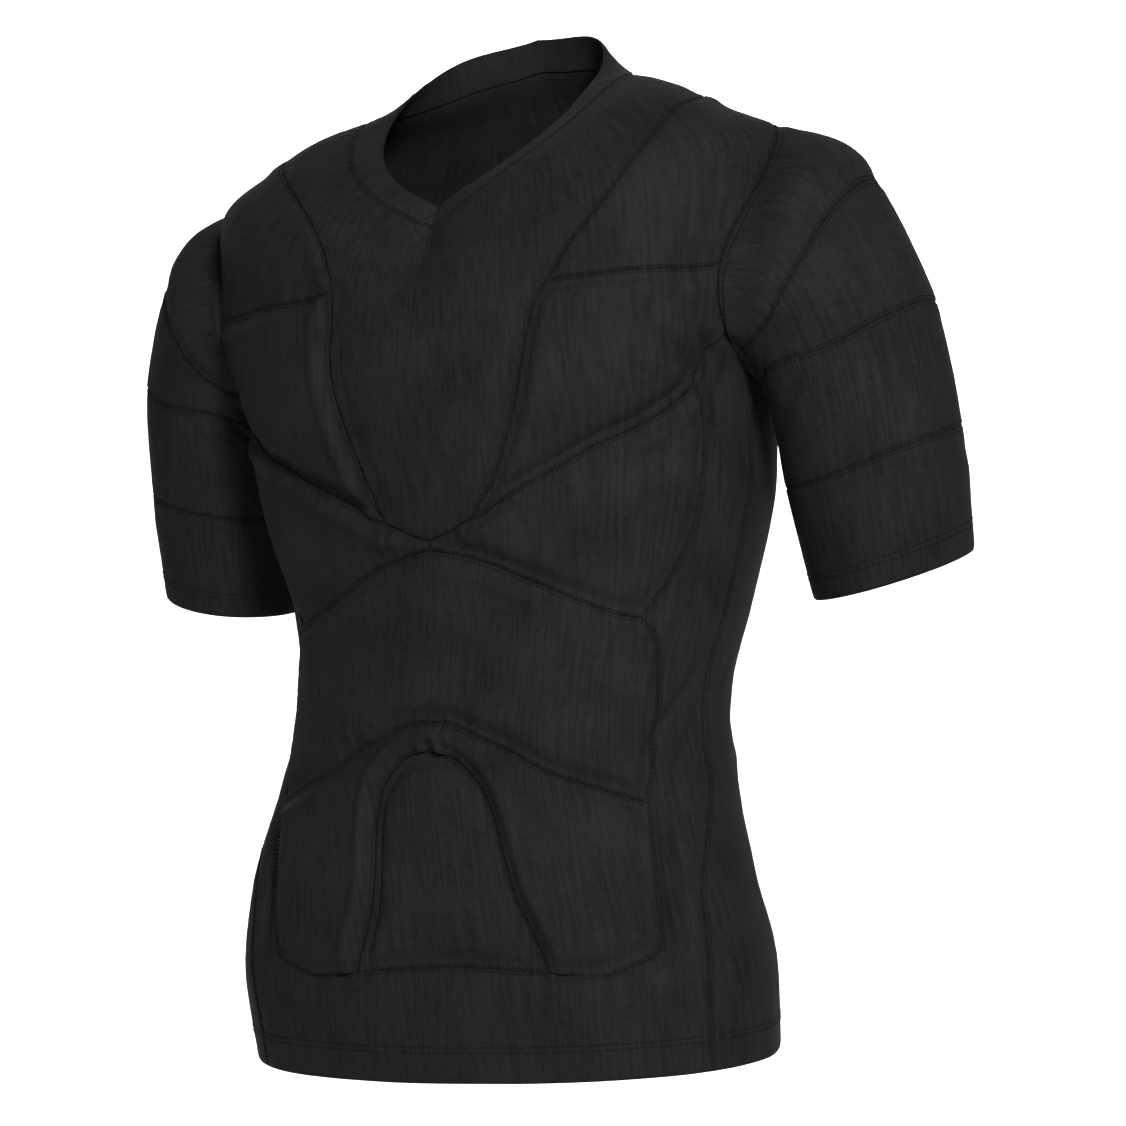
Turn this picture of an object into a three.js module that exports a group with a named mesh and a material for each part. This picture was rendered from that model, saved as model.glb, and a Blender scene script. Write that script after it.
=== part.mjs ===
// Goalkeeper jersey: a close-fitting padded shirt with short sleeves, filled out as it is worn.
// Millimetres, +Z up, front towards -Y, wearer's left at +X, origin where the shoulders carry it.
import * as THREE from 'three'

// Driving sizes
const clothWall = 1.5
const bandWall = 2.4
const seamGap = 0.3
const padEdge = 13 // how far a pad takes to reach its full rise
const stationStep = 9 // degrees between the lengthways lines of a sleeve
const flatPerDegree = 2.7 // millimetres round the body for one degree, for spacing points only
const longestMitre = 1.6

const colours = { knit: 0x2b2b2b, pad: 0x303030, band: 0x2e2d33 }

function table(names, rows) {
  const keys = names.split(' ')
  return rows.map((row) => Object.fromEntries(keys.map((key, i) => [key, row[i]])))
}

// Rings of the body, from the hem up: up is the distance along the side
const rings = table('up front side back halfWidth frontDepth backDepth centreX centreY square vee', [
  [0, -622, -622, -622, 178, 116, 128, -3, -8, 2.15, 0],
  [60, -562, -562, -562, 181, 116, 128, -5.5, -14, 2.15, 0],
  [120, -502, -502, -502, 171, 112, 112, -7, -14, 2.15, 0],
  [180, -442, -442, -442, 160, 110, 100, -3.5, -6, 2.15, 0],
  [240, -382, -382, -382, 153, 112, 94, -0.5, 5, 2.15, 0],
  [300, -322, -322, -322, 164, 115, 106, 0, 17, 2.15, 0],
  [360, -262, -262, -262, 178, 126, 120, 0, 19, 2.2, 0],
  [420, -210, -202, -202, 184, 134, 126, 0, 15, 2.25, 0],
  [470, -176, -152, -154, 190, 134, 126, 0, 10, 2.3, 0],
  [520, -148, -98, -104, 195, 131, 120, 0, 8, 2.3, 0.1],
  [565, -128, -40, -54, 200, 127, 110, 0, 6, 2.25, 0.3],
  [605, -113, -12, -16, 164, 120, 96, 0, 8, 2.15, 0.6],
  [650, -101, 8, 20, 129, 109, 80, 0, 10, 2.05, 0.9],
  [690, -92, 22, 43, 88, 98, 66, 0, 8, 2, 1],
])

// The armhole in the body's own coordinates: angle 0 on the shoulder, 90 in front, 180 under the arm
const armhole = table('angle turn up', [
  [-45, 106, 548], [0, 97, 578], [45, 84, 543], [90, 74, 503], [135, 76, 466], [180, 86, 438],
  [225, 100, 455], [270, 108, 505], [315, 106, 548], [360, 97, 578], [405, 84, 543],
])

// How far the cloth is drawn out of the corner between arm and chest, at the armhole itself
const armholeSpan = table('angle rise', [
  [0, 6], [30, 9], [60, 12], [90, 12], [120, 8], [150, 4], [180, 2], [210, 4], [240, 8], [270, 12],
  [300, 12], [330, 9], [360, 6],
])
const spanReach = 45

// Rings of the sleeve from near the armhole, along 0, to the cuff, along 1
const sleeveRings = table('along x y z leanOut leanBack across deep', [
  [0.22, 218, 18, -124, 68, 4, 79, 70],
  [0.45, 238, 26, -177, 40, 7, 66, 66],
  [0.7, 246, 39, -242, 20, 10, 60, 62],
  [1, 252, 50, -313, 12, 11, 54, 54],
])

// Seams round the sleeve: where each lies along it, by angle from the shoulder line
const sleeveSeams = table('angle cap upper lower', [
  [0, 0.28, 0.48, 0.71], [45, 0.29, 0.47, 0.7], [90, 0.28, 0.43, 0.69], [117, 0.24, 0.36, 0.68],
  [135, 0.15, 0.3, 0.67], [153, 0, 0.24, 0.66], [166, 0, 0.2, 0.66], [180, 0, 0.18, 0.65],
])
const capEnd = 153

// The neckband's seam on the body and its rim
const neckSeam = table('turn up', [
  [0, 690], [10, 684], [18, 662], [32, 640], [45, 630], [57, 632], [65, 642], [87, 667], [120, 678],
  [150, 685], [180, 690],
])
const rimHeight = table('turn z', [[0, -64], [30, -41], [60, -12], [90, 22], [135, 56], [180, 66]])
const rim = { halfWidth: 76, front: 84, back: 62, centreY: 8 }

// How the worn shirt leans and turns: slopes are rises per millimetre across, the turn is in degrees,
// and the wearer's left arm stands a little further out
const worn = {
  shoulderSlope: 0.03,
  neckSlope: 0.015,
  hemSlope: 0.012,
  hipTurn: 11,
  waistZ: -380,
  leftArmOut: 4,
}

// The largest folds of the cloth: a soft trough or ridge at a place, as long and wide as given
const folds = table('turn up tilt long wide rise', [
  [64, 118, 84, 52, 9, -3.5], [-64, 112, 96, 48, 9, -3],
  [76, 232, 52, 30, 8, -3], [80, 214, 58, 26, 7, -2.5],
  [-78, 226, 128, 30, 8, -3], [-83, 206, 122, 24, 7, -2.5],
  [118, 236, 20, 44, 9, -3], [140, 214, 8, 50, 9, 2.5], [-122, 240, 164, 42, 9, -3],
  [168, 228, 4, 46, 10, -2.5], [-150, 204, 170, 44, 9, 2.5],
])

// Numbers along a table: cubic pieces with the mean slope at each row
function along(rows, key, value, x) {
  let i = 0
  while (i < rows.length - 2 && x >= rows[i + 1][key]) i++
  const rise = (k) => (rows[k + 1][value] - rows[k][value]) / (rows[k + 1][key] - rows[k][key])
  const slope = (k) => {
    if (k === 0) return rise(0)
    if (k === rows.length - 1) return rise(k - 1)
    const before = rows[k][key] - rows[k - 1][key]
    const after = rows[k + 1][key] - rows[k][key]
    return (before * rise(k) + after * rise(k - 1)) / (before + after)
  }
  const width = rows[i + 1][key] - rows[i][key]
  const s = (x - rows[i][key]) / width
  return (
    (2 * s ** 3 - 3 * s ** 2 + 1) * rows[i][value] + (s ** 3 - 2 * s ** 2 + s) * width * slope(i) +
    (3 * s ** 2 - 2 * s ** 3) * rows[i + 1][value] + (s ** 3 - s ** 2) * width * slope(i + 1)
  )
}

const ease = (x) => THREE.MathUtils.smoothstep(x, 0, 1)
const radians = THREE.MathUtils.degToRad

function asWorn(point) {
  const { x, y, z } = point
  const chest = THREE.MathUtils.clamp(1 - z / worn.waistZ, 0, 1)
  const hip = THREE.MathUtils.clamp((worn.waistZ - z) / 242, 0, 1)
  const slope = worn.shoulderSlope * chest + worn.neckSlope * ease((z + 40) / 60) + worn.hemSlope * hip
  const turn = radians(worn.hipTurn) * ease((worn.waistZ - 10 - z) / 150)
  const cos = Math.cos(turn)
  const sin = Math.sin(turn)
  return new THREE.Vector3(cos * x - sin * y, sin * x + cos * y, z + slope * x)
}

// A point of the bare body form: turn is degrees round from centre front to the wearer's left
function bodyForm(turn, up) {
  const ring = {}
  for (const key of Object.keys(rings[0])) ring[key] = along(rings, 'up', key, up)
  const sin = Math.sin(radians(turn))
  const cos = Math.cos(radians(turn))
  const depth = cos > 0 ? ring.frontDepth : ring.backDepth
  const reach = ((Math.abs(sin) / ring.halfWidth) ** ring.square + (Math.abs(cos) / depth) ** ring.square) **
    (-1 / ring.square)
  const vee = THREE.MathUtils.clamp(ring.vee, 0, 1)
  const soft = 0.2 * (1 - vee) + 0.02
  const fall = (Math.hypot(sin, soft) - soft) / (Math.hypot(1, soft) - soft)
  const share = cos > 0 ? (1 - vee) * cos ** 2 + vee * (1 - fall) : cos ** 2
  const z = ring.side + ((cos > 0 ? ring.front : ring.back) - ring.side) * share
  return new THREE.Vector3(ring.centreX + reach * sin, ring.centreY - reach * cos, z)
}

// How far the folds move the cloth at a place
function foldRise(turn, up) {
  let rise = 0
  for (const fold of folds) {
    const round = (((turn - fold.turn + 540) % 360) - 180) * flatPerDegree
    const rest = up - fold.up
    const lengthways = round * Math.cos(radians(fold.tilt)) + rest * Math.sin(radians(fold.tilt))
    const sideways = rest * Math.cos(radians(fold.tilt)) - round * Math.sin(radians(fold.tilt))
    rise += fold.rise * Math.exp(-((lengthways / fold.long) ** 2) - (sideways / fold.wide) ** 2)
  }
  return rise
}

function normalOf(surface, u, v, du, dv) {
  const a = surface(u + du, v).sub(surface(u - du, v))
  const b = surface(u, v + dv).sub(surface(u, v - dv))
  return a.cross(b).normalize()
}

const bodyBare = (turn, up) => asWorn(bodyForm(turn, up))
const bodyNormal = (turn, up) => normalOf(bodyBare, turn, Math.min(up, 689), 0.5, 0.5)
const body = {
  point: (turn, up) => {
    const lifted = bodyBare(turn, up).addScaledVector(bodyNormal(turn, up), foldRise(turn, up))
    const { angle, away, side } = armholeNear(turn, up)
    if (away < spanReach) lifted.addScaledVector(armholeWall(angle, side), spanRise(angle, away))
    return lifted
  },
  normal: bodyNormal,
  flat: (turn, up) => new THREE.Vector2(turn * flatPerDegree, up),
}

function armRing(row, angle) {
  const out = radians(row.leanOut)
  const back = radians(row.leanBack)
  const axis = new THREE.Vector3(Math.sin(out), Math.tan(back) * Math.cos(out), -Math.cos(out)).normalize()
  const front = new THREE.Vector3(0, -1, 0)
  front.addScaledVector(axis, -front.dot(axis)).normalize()
  const outer = front.clone().cross(axis)
  return new THREE.Vector3(row.x, row.y, row.z)
    .addScaledVector(outer, row.across * Math.cos(radians(angle)))
    .addScaledVector(front, row.deep * Math.sin(radians(angle)))
}

const armholeAt = (angle) => {
  const a = ((angle % 360) + 360) % 360
  return [along(armhole, 'angle', 'turn', a), along(armhole, 'angle', 'up', a)]
}

const spanRise = (angle, away) =>
  along(armholeSpan, 'angle', 'rise', ((angle % 360) + 360) % 360) * Math.max(0, 1 - away / spanReach) ** 2

// The nearest place of an armhole on the flat pattern of the body, as its angle and distance
const armholeDots = Array.from({ length: 121 }, (_, i) => {
  const [turn, up] = armholeAt(i * 3)
  return new THREE.Vector2(turn * flatPerDegree, up)
})
function armholeNear(turn, up) {
  const t = ((turn + 540) % 360) - 180
  const p = new THREE.Vector2(Math.abs(t) * flatPerDegree, up)
  const found = { angle: 0, away: Infinity, side: t < 0 ? -1 : 1 }
  for (let i = 0; i < 120; i++) {
    const step = armholeDots[i + 1].clone().sub(armholeDots[i])
    const s = THREE.MathUtils.clamp(p.clone().sub(armholeDots[i]).dot(step) / step.lengthSq(), 0, 1)
    const away = p.distanceTo(armholeDots[i].clone().addScaledVector(step, s))
    if (away < found.away) Object.assign(found, { away, angle: (i + s) * 3 })
  }
  return found
}

function sleeveForm(angle, place) {
  const start = bodyForm(...armholeAt(angle))
  const points = [start, ...sleeveRings.map((row) => armRing(row, angle))]
  const places = [0, ...sleeveRings.map((row) => row.along)]
  const result = new THREE.Vector3()
  for (const axis of ['x', 'y', 'z']) {
    const rows = places.map((p, i) => ({ place: p, value: points[i][axis] }))
    result[axis] = along(rows, 'place', 'value', place)
  }
  return result
}

// A sleeve's surface: angle round the arm and place along it, on the wearer's left, 1, or right, -1
function sleeveSurface(side) {
  const bare = (angle, place) => {
    const form = sleeveForm(angle, place).multiply(new THREE.Vector3(side, 1, 1))
    if (side > 0) form.x += worn.leftArmOut * ease(place / 0.5)
    return asWorn(form)
  }
  const normal = (angle, place) => {
    const p = THREE.MathUtils.clamp(place, 0.01, 0.99)
    return normalOf(bare, angle, p, 1, 0.01).multiplyScalar(side)
  }
  const point = (angle, place) => {
    const rise = spanRise(angle, place * 260)
    return rise > 0 ? bare(angle, place).addScaledVector(armholeWall(angle, side), rise) : bare(angle, place)
  }
  return { point, normal, flat: (angle, place) => new THREE.Vector2(angle * 1.1, place * -260) }
}

function bandPoint(turn, place) {
  const t = Math.abs(((turn + 540) % 360) - 180)
  const foot = bodyForm(turn, along(neckSeam, 'turn', 'up', t))
  const sin = Math.sin(radians(turn))
  const cos = Math.cos(radians(turn))
  const depth = cos > 0 ? rim.front : rim.back
  const height = along(rimHeight, 'turn', 'z', t)
  const top = new THREE.Vector3(rim.halfWidth * sin, rim.centreY - depth * cos, height)
  return asWorn(foot.lerp(top, place))
}
const bandSurface = {
  point: bandPoint,
  normal: (turn, place) => normalOf(bandPoint, turn, THREE.MathUtils.clamp(place, 0.05, 0.95), 1, 0.05),
}

// Chart points at even steps along a smooth curve through a few rows
function seam(rows, step = 11) {
  const curve = new THREE.SplineCurve(rows.map(([turn, up]) => new THREE.Vector2(turn * flatPerDegree, up)))
  const count = Math.max(1, Math.round(curve.getLength() / step))
  return curve.getSpacedPoints(count).map((p) => ({ u: p.x / flatPerDegree, v: p.y }))
}

const backwards = (points) => [...points].reverse()
const reflected = (p, u) => ({ ...p, u, side: -1, ...(p.neck === undefined ? {} : { neck: u }) })
const mirrored = (points) => points.map((p) => reflected(p, -p.u))

// The direction of the wall where a sleeve meets the body, shared by both so that they meet like a mitre
function armholeWall(angle, side) {
  const [turn, up] = armholeAt(angle)
  const sleeve = sleeveSurface(side)
  return body.normal(side * turn, up).add(sleeve.normal(angle, 0.02)).normalize()
}

// The same where the neckband meets the body
const neckWall = (turn) => {
  const up = along(neckSeam, 'turn', 'up', Math.abs(((turn + 540) % 360) - 180))
  return body.normal(turn, up).add(bandSurface.normal(turn, 0.1)).normalize()
}

// Points of the armhole seam on the body between two angles
function armholeSeam(from, to) {
  const count = Math.round(Math.abs(to - from) / stationStep)
  return Array.from({ length: count + 1 }, (_, i) => {
    const angle = from + ((to - from) * i) / count
    const [turn, up] = armholeAt(angle)
    return { u: turn, v: up, angle }
  })
}

// Directed edges of the open rim of a set of triangles
function rimEdges(triangles) {
  const edges = new Map()
  for (const [a, b, c] of triangles) {
    for (const [p, q] of [[a, b], [b, c], [c, a]]) edges.set(`${p},${q}`, [p, q])
  }
  return [...edges.values()].filter(([p, q]) => !edges.has(`${q},${p}`))
}

// Turns edges between pairs of triangles until none is too flat
function tidyTriangles(points, triangles, fixed) {
  const corner = (i, a, b) => {
    const p = points[a].clone().sub(points[i])
    const q = points[b].clone().sub(points[i])
    return Math.atan2(Math.abs(p.cross(q)), p.dot(q))
  }
  for (let turned = true, pass = 0; turned && pass < 400; pass++) {
    turned = false
    const owner = new Map()
    triangles.forEach((t, k) => t.forEach((a, i) => owner.set(`${a},${t[(i + 1) % 3]}`, [k, t[(i + 2) % 3]])))
    const touched = new Set()
    for (const [edge, [k, far]] of owner) {
      const [a, b] = edge.split(',').map(Number)
      const other = owner.get(`${b},${a}`)
      if (!other || a > b || touched.has(k) || touched.has(other[0])) continue
      if (corner(far, a, b) + corner(other[1], a, b) < Math.PI + 1e-6) continue
      triangles[k] = [far, a, other[1]]
      triangles[other[0]] = [other[1], b, far]
      touched.add(k).add(other[0])
      turned = true
    }
  }
}

const inside = (p, outline) => {
  let odd = false
  outline.forEach((a, i) => {
    const b = outline[(i + 1) % outline.length]
    if (a.y > p.y !== b.y > p.y && p.x < ((b.x - a.x) * (p.y - a.y)) / (b.y - a.y) + a.x) odd = !odd
  })
  return odd
}

function distanceTo(p, outline) {
  let least = Infinity
  outline.forEach((a, i) => {
    const b = outline[(i + 1) % outline.length]
    const along = b.clone().sub(a)
    const s = THREE.MathUtils.clamp(p.clone().sub(a).dot(along) / Math.max(along.lengthSq(), 1e-9), 0, 1)
    least = Math.min(least, p.distanceTo(a.clone().addScaledVector(along, s)))
  })
  return least
}

// Fills an outline of chart points with a lattice and joins it up into triangles
function fill(outline, surface, spacing) {
  const points = outline.map((p) => surface.flat(p.u, p.v))
  const ring = [...points]
  if (THREE.ShapeUtils.isClockWise(ring)) {
    outline.reverse()
    points.reverse()
    ring.reverse()
  }
  const chart = [...outline]
  const triangles = THREE.ShapeUtils.triangulateShape(ring, [])
  const box = new THREE.Box2().setFromPoints(ring)
  const toChart = surface.unflat
  const rowStep = (spacing * Math.sqrt(3)) / 2
  for (let row = 0, y = box.min.y + rowStep / 2; y < box.max.y; y += rowStep, row++) {
    for (let x = box.min.x + (row % 2 ? spacing / 2 : 0); x < box.max.x; x += spacing) {
      const p = new THREE.Vector2(x, y)
      if (!inside(p, ring) || distanceTo(p, ring) < 0.55 * spacing) continue
      const home = triangles.findIndex((t) => inside(p, t.map((i) => points[i])))
      if (home < 0) continue
      const [a, b, c] = triangles[home]
      const n = points.push(p) - 1
      chart.push(toChart(p))
      triangles.splice(home, 1, [a, b, n], [b, c, n], [c, a, n])
    }
  }
  tidyTriangles(points, triangles)
  const depth = points.map((p, i) => (i < ring.length ? 0 : distanceTo(p, ring)))
  return { chart, triangles, depth }
}

// A grid of chart points all round a sleeve or band, between two edges
function roundGrid(columns, first, last, rows, pointAt) {
  const chart = []
  const triangles = []
  for (let j = 0; j <= rows; j++) {
    columns.forEach((u, i) => {
      const place = THREE.MathUtils.lerp(first(u), last(u), j / rows)
      chart.push(pointAt(u, place, j === 0))
      if (j === rows) return
      const next = (i + 1) % columns.length
      const a = j * columns.length + i
      const b = j * columns.length + next
      const c = a + columns.length
      const d = b + columns.length
      triangles.push([a, b, d], [a, d, c])
    })
  }
  return { chart, triangles, depth: chart.map(() => 0) }
}

// Makes a closed wall of cloth on a surface: the outer face rises to the pad, the inner face stays plain
function cloth(name, surface, mesh, { wall = clothWall, rise = 0, colour = colours.knit, side = 1 } = {}) {
  const skin = mesh.chart.map((p) => surface.point(p.u, p.v))
  const normals = mesh.chart.map((p) => surface.normal(p.u, p.v))
  const walls = mesh.chart.map((p, i) => {
    if (p.neck !== undefined) return neckWall(p.neck)
    return p.angle === undefined ? normals[i] : armholeWall(p.angle, p.side ?? side)
  })
  let { triangles } = mesh
  const facing = triangles.reduce((sum, [a, b, c]) => {
    const across = skin[b].clone().sub(skin[a]).cross(skin[c].clone().sub(skin[a]))
    return sum + across.dot(normals[a])
  }, 0)
  if (facing < 0) triangles = triangles.map(([a, b, c]) => [a, c, b])

  const inset = skin.map(() => new THREE.Vector3())
  const inwards = new Map()
  const edges = rimEdges(triangles)
  for (const [a, b] of edges) {
    for (const i of [a, b]) {
      const into = walls[i].clone().cross(skin[b].clone().sub(skin[a])).normalize()
      inwards.set(i, [...(inwards.get(i) ?? []), into])
    }
  }
  for (const [i, [p, q]] of inwards) {
    inset[i].copy(p).add(q ?? p).multiplyScalar(seamGap / 2 / Math.max(1 + p.dot(q ?? p), 0.02))
    inset[i].clampLength(0, longestMitre)
  }

  const count = skin.length
  const positions = []
  const place = (i, lift) => positions.push(...skin[i].clone().add(inset[i]).addScaledVector(walls[i], lift))
  for (let i = 0; i < count; i++) place(i, rise * ease(mesh.depth[i] / padEdge))
  for (let i = 0; i < count; i++) place(i, -wall / Math.max(walls[i].dot(normals[i]), 0.6))
  const index = []
  for (const [a, b, c] of triangles) index.push(a, b, c, a + count, c + count, b + count)
  // Neighbours split each twisted stretch of wall the same way, so that they stay apart
  const order = (i) => skin[i].x + 0.3 * skin[i].y + 0.6 * skin[i].z
  for (const [a, b] of edges) {
    if (order(a) < order(b)) index.push(b, a, b + count, a, a + count, b + count)
    else index.push(b, a, a + count, b, a + count, b + count)
  }

  const geometry = new THREE.BufferGeometry()
  geometry.setAttribute('position', new THREE.Float32BufferAttribute(positions, 3))
  geometry.setIndex(index)
  geometry.computeVertexNormals()
  const material = new THREE.MeshStandardMaterial({ color: colour, roughness: 0.9, metalness: 0 })
  const piece = new THREE.Mesh(geometry, material)
  piece.name = name
  return piece
}

body.unflat = (p) => ({ u: p.x / flatPerDegree, v: p.y })

// Seams of the front on the wearer's left, as turn and up, from the top down
const shoulderTop = [97, 578]
const neckAt = (turn) => along(neckSeam, 'turn', 'up', Math.abs(turn))
const princess = {
  left: [[97, 628], [84, 614], [71, 603], [60, 581], [51, 557], [44, 541], [38.5, 524]],
  leftLow: [[38.5, 524], [35, 505], [32.5, 474], [29.5, 435], [25.5, 402], [21.5, 377], [17, 362], [14, 353]],
  right: [[97, 628], [82, 621], [60, 614], [42, 604], [32, 590], [27, 572], [24.5, 552]],
  rightLow: [[24.5, 552], [24.5, 520], [25, 486], [23.5, 448], [21, 415], [18.5, 385], [16, 365], [14, 353]],
}
const yokeSeam = {
  left: [[38.5, 524], [50, 516], [58, 511], [67, 505], [74, 503]],
  right: [[24.5, 552], [31.5, 537], [45, 522], [59, 509], [74, 503]],
}
const sternum = [[14, 353], [7, 346], [0, 341]]
const underChest = [
  [68, 432], [65, 423], [56.5, 408], [47, 397], [39, 385], [32, 376], [25, 367], [19, 358], [14, 353],
]
const underArm = [[76, 466], [71, 450], [68, 432]]
const ribSide = [[68, 432], [71, 410], [71, 384], [70, 350], [68, 328], [65, 309], [60, 288]]
const ribFoot = [[0, 335], [16.5, 327], [31.5, 313.5], [44.5, 300], [54, 291], [60, 288]]
const waistSide = [[60, 288], [64.5, 273], [67, 243], [65.5, 200], [63, 172]]
const belly = [[0, 226], [8, 225], [18, 217], [28, 208], [38, 195], [50, 184], [63, 172]]
const hipSide = [[63, 172], [61.5, 144], [60, 120], [58.5, 95], [56, 78], [45, 67]]
const padFoot = [[45, 67], [38, 68], [30.5, 70]]
const archFoot = [[30.5, 70], [15, 73], [0, 75]]
const archSide = [
  [30.5, 70], [27.5, 92], [24, 117], [22.5, 140], [21.5, 160], [18.5, 184], [10, 203], [0, 208.5],
]
const sideSeam = [
  [86, 438], [85, 380], [84, 300], [82, 200], [80, 170], [74, 135], [70, 106], [67, 43], [67, 0],
]
const bothSides = (points) => [...mirrored(points).slice(0, -1), ...backwards(points)]

// Joins seams end to end into one outline, leaving each shared end out once
function outlineOf(...parts) {
  return parts.flatMap((part) => part.slice(0, -1))
}
const bodyPanel = (name, outline, spacing, options) =>
  cloth(name, body, fill(outline, body, spacing), options)
const handed = (side, points) => (side > 0 ? points : mirrored(points))
const padded = (rise) => ({ rise, colour: colours.pad })

function neckLine(from, to, count) {
  return Array.from({ length: count + 1 }, (_, i) => {
    const turn = from + ((to - from) * i) / count
    return { u: turn, v: neckAt(turn > 180 ? 360 - turn : turn), neck: turn }
  })
}
const neckFront = neckLine(-97, 97, 26)
const neckBack = neckLine(97, 263, 20)
const shoulderSeam = seam([[97, 628], shoulderTop])
const collarSeam = seam([[97, neckAt(97)], [97, 628]])
collarSeam[0].neck = 97

function chestCentre() {
  const edge = (key) => [...outlineOf(seam(princess[key]), seam(princess[`${key}Low`])), ...seam(sternum)]
  const left = edge('left')
  const right = mirrored([...collarSeam.slice(0, -1), ...edge('right')])
  const outline = outlineOf(neckFront, collarSeam, left, backwards(right))
  return bodyPanel('front_chest_centre', outline, 17)
}

function yoke(side, name) {
  const key = side > 0 ? 'left' : 'right'
  const shoulder = backwards(shoulderSeam)
  const outline = outlineOf(seam(princess[key]), seam(yokeSeam[key]), armholeSeam(90, 0), shoulder)
  return bodyPanel(`front_yoke_${name}`, handed(side, outline), 17, { side })
}

function chestPad(side, name) {
  const key = side > 0 ? 'left' : 'right'
  const inner = backwards(seam(princess[`${key}Low`]))
  const under = [...seam(underArm).slice(0, -1), ...seam(underChest)]
  const outline = outlineOf(inner, seam(yokeSeam[key]), armholeSeam(90, 135), under)
  return bodyPanel(`chest_pad_${name}`, handed(side, outline), 12, { ...padded(3), side })
}

function ribPad(side, name) {
  const top = [...seam(underChest).slice(0, -1), ...seam(sternum)]
  const middle = [{ u: 0, v: 341 }, { u: 0, v: 335 }]
  const outline = outlineOf(top, middle, seam(ribFoot), backwards(seam(ribSide)))
  return bodyPanel(`rib_pad_${name}`, handed(side, outline), 12, padded(4))
}

function waistPad() {
  const right = outlineOf(seam(ribFoot), seam(waistSide))
  const outline = [...right, ...backwards(seam(belly)).slice(0, -1)]
  const other = mirrored(outline).slice(1).reverse()
  return bodyPanel('waist_pad', [...outline, { u: 0, v: 226 }, ...other], 12, padded(3))
}

function hipPad() {
  const half = outlineOf(seam(belly), seam(hipSide), seam(padFoot), seam(archSide))
  const outline = [...half, { u: 0, v: 208.5 }, ...mirrored(half).slice(1).reverse()]
  return bodyPanel('hip_pad', outline, 12, padded(4))
}

function archPad() {
  const half = outlineOf(backwards(seam(archSide)), seam(archFoot))
  const outline = [...half, { u: 0, v: 75 }, ...mirrored(half).slice(1).reverse()]
  return bodyPanel('arch_pad', outline, 12, padded(3.5))
}

function frontSurround() {
  const pads = [underArm, ribSide, waistSide, hipSide, padFoot, archFoot].map((rows) => seam(rows))
  const inner = outlineOf(...pads)
  const edge = outlineOf(armholeSeam(135, 180), seam(sideSeam, 14), seam([[67, 0], [0, 0]], 14))
  const side = (points) => mirrored(points).slice(1).reverse()
  const left = [...backwards(inner), ...edge, { u: 0, v: 0 }]
  const outline = [...left, ...side(edge), ...mirrored(inner), { u: 0, v: 75 }]
  return bodyPanel('front_surround', outline, 17)
}

function backPanel() {
  const half = outlineOf(backwards(seam(sideSeam, 14)), armholeSeam(180, 360), backwards(shoulderSeam),
    backwards(collarSeam))
  const across = (points) => points.map((p) => reflected(p, 360 - p.u))
  const hem = seam([[67, 0], [180, 0], [293, 0]], 14).slice(1)
  const outline = [...half, ...neckBack, ...across(half).slice(1).reverse(), ...backwards(hem)]
  return bodyPanel('back_panel', outline, 25)
}

// Shares of the sleeve seams at an angle, the same in front and behind
const seamPlace = (key) => (angle) => along(sleeveSeams, 'angle', key, Math.abs(((angle + 540) % 360) - 180))
const stations = (from, to, step) =>
  Array.from({ length: Math.round((to - from) / step) }, (_, i) => from + i * step)

function sleevePieces(side, name) {
  const surface = sleeveSurface(side)
  surface.unflat = (p) => ({ u: (-side * p.x) / 1.1, v: p.y / -260 })
  surface.flat = (angle, place) => new THREE.Vector2(-side * angle * 1.1, place * -260)
  const columns = stations(-180, 180, stationStep)
  const capSeam = (angle) => (Math.abs(((angle + 540) % 360) - 180) < capEnd ? seamPlace('cap')(angle) : 0)
  const atArmhole = (u, v) => (v === 0 ? { u, v, angle: u } : { u, v })
  const capColumns = stations(-capEnd, capEnd + stationStep, stationStep)
  const outline = [
    ...capColumns.map((u) => atArmhole(u, 0)),
    ...capColumns.slice(1, -1).reverse().map((u) => ({ u, v: capSeam(u) })),
  ]
  const tube = (part, first, last, rows) => {
    const grid = roundGrid(columns, first, last, rows, atArmhole)
    return cloth(`sleeve_${part}_${name}`, surface, grid, { side })
  }
  return [
    cloth(`sleeve_cap_${name}`, surface, fill(outline, surface, 16), { ...padded(2.5), side }),
    tube('upper', capSeam, seamPlace('upper'), 3),
    tube('middle', seamPlace('upper'), seamPlace('lower'), 4),
    tube('lower', seamPlace('lower'), () => 1, 4),
  ]
}

function neckband() {
  const columns = [...neckFront.slice(0, -1), ...neckBack.slice(0, -1)].map((p) => p.u)
  const grid = roundGrid(columns, () => 0, () => 1, 3, (u, v) => (v === 0 ? { u, v, neck: u } : { u, v }))
  return cloth('neckband', bandSurface, grid, { wall: bandWall, colour: colours.band })
}

const jersey = new THREE.Group()
jersey.add(chestCentre(), waistPad(), hipPad(), archPad(), frontSurround(), backPanel(), neckband())
for (const [side, name] of [[1, 'left'], [-1, 'right']]) {
  jersey.add(yoke(side, name), chestPad(side, name), ribPad(side, name), ...sleevePieces(side, name))
}

export default jersey
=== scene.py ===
# %% [markdown]
# # A padded goalkeeper jersey, panel by panel
# The jersey is a close-fitting knitted shirt, filled out as if it were worn, with thin foam pads
# sewn in between two layers of cloth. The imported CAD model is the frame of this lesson: it says
# where every panel lies. Here each panel is cut again from the same seams, with a much finer mesh,
# so that edges, folds, stitching and the knit itself can be shaped.

# %% Load the frame
import math
import bpy
import numpy as np
from mathutils import Matrix
from mathutils.geometry import delaunay_2d_cdt


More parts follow.
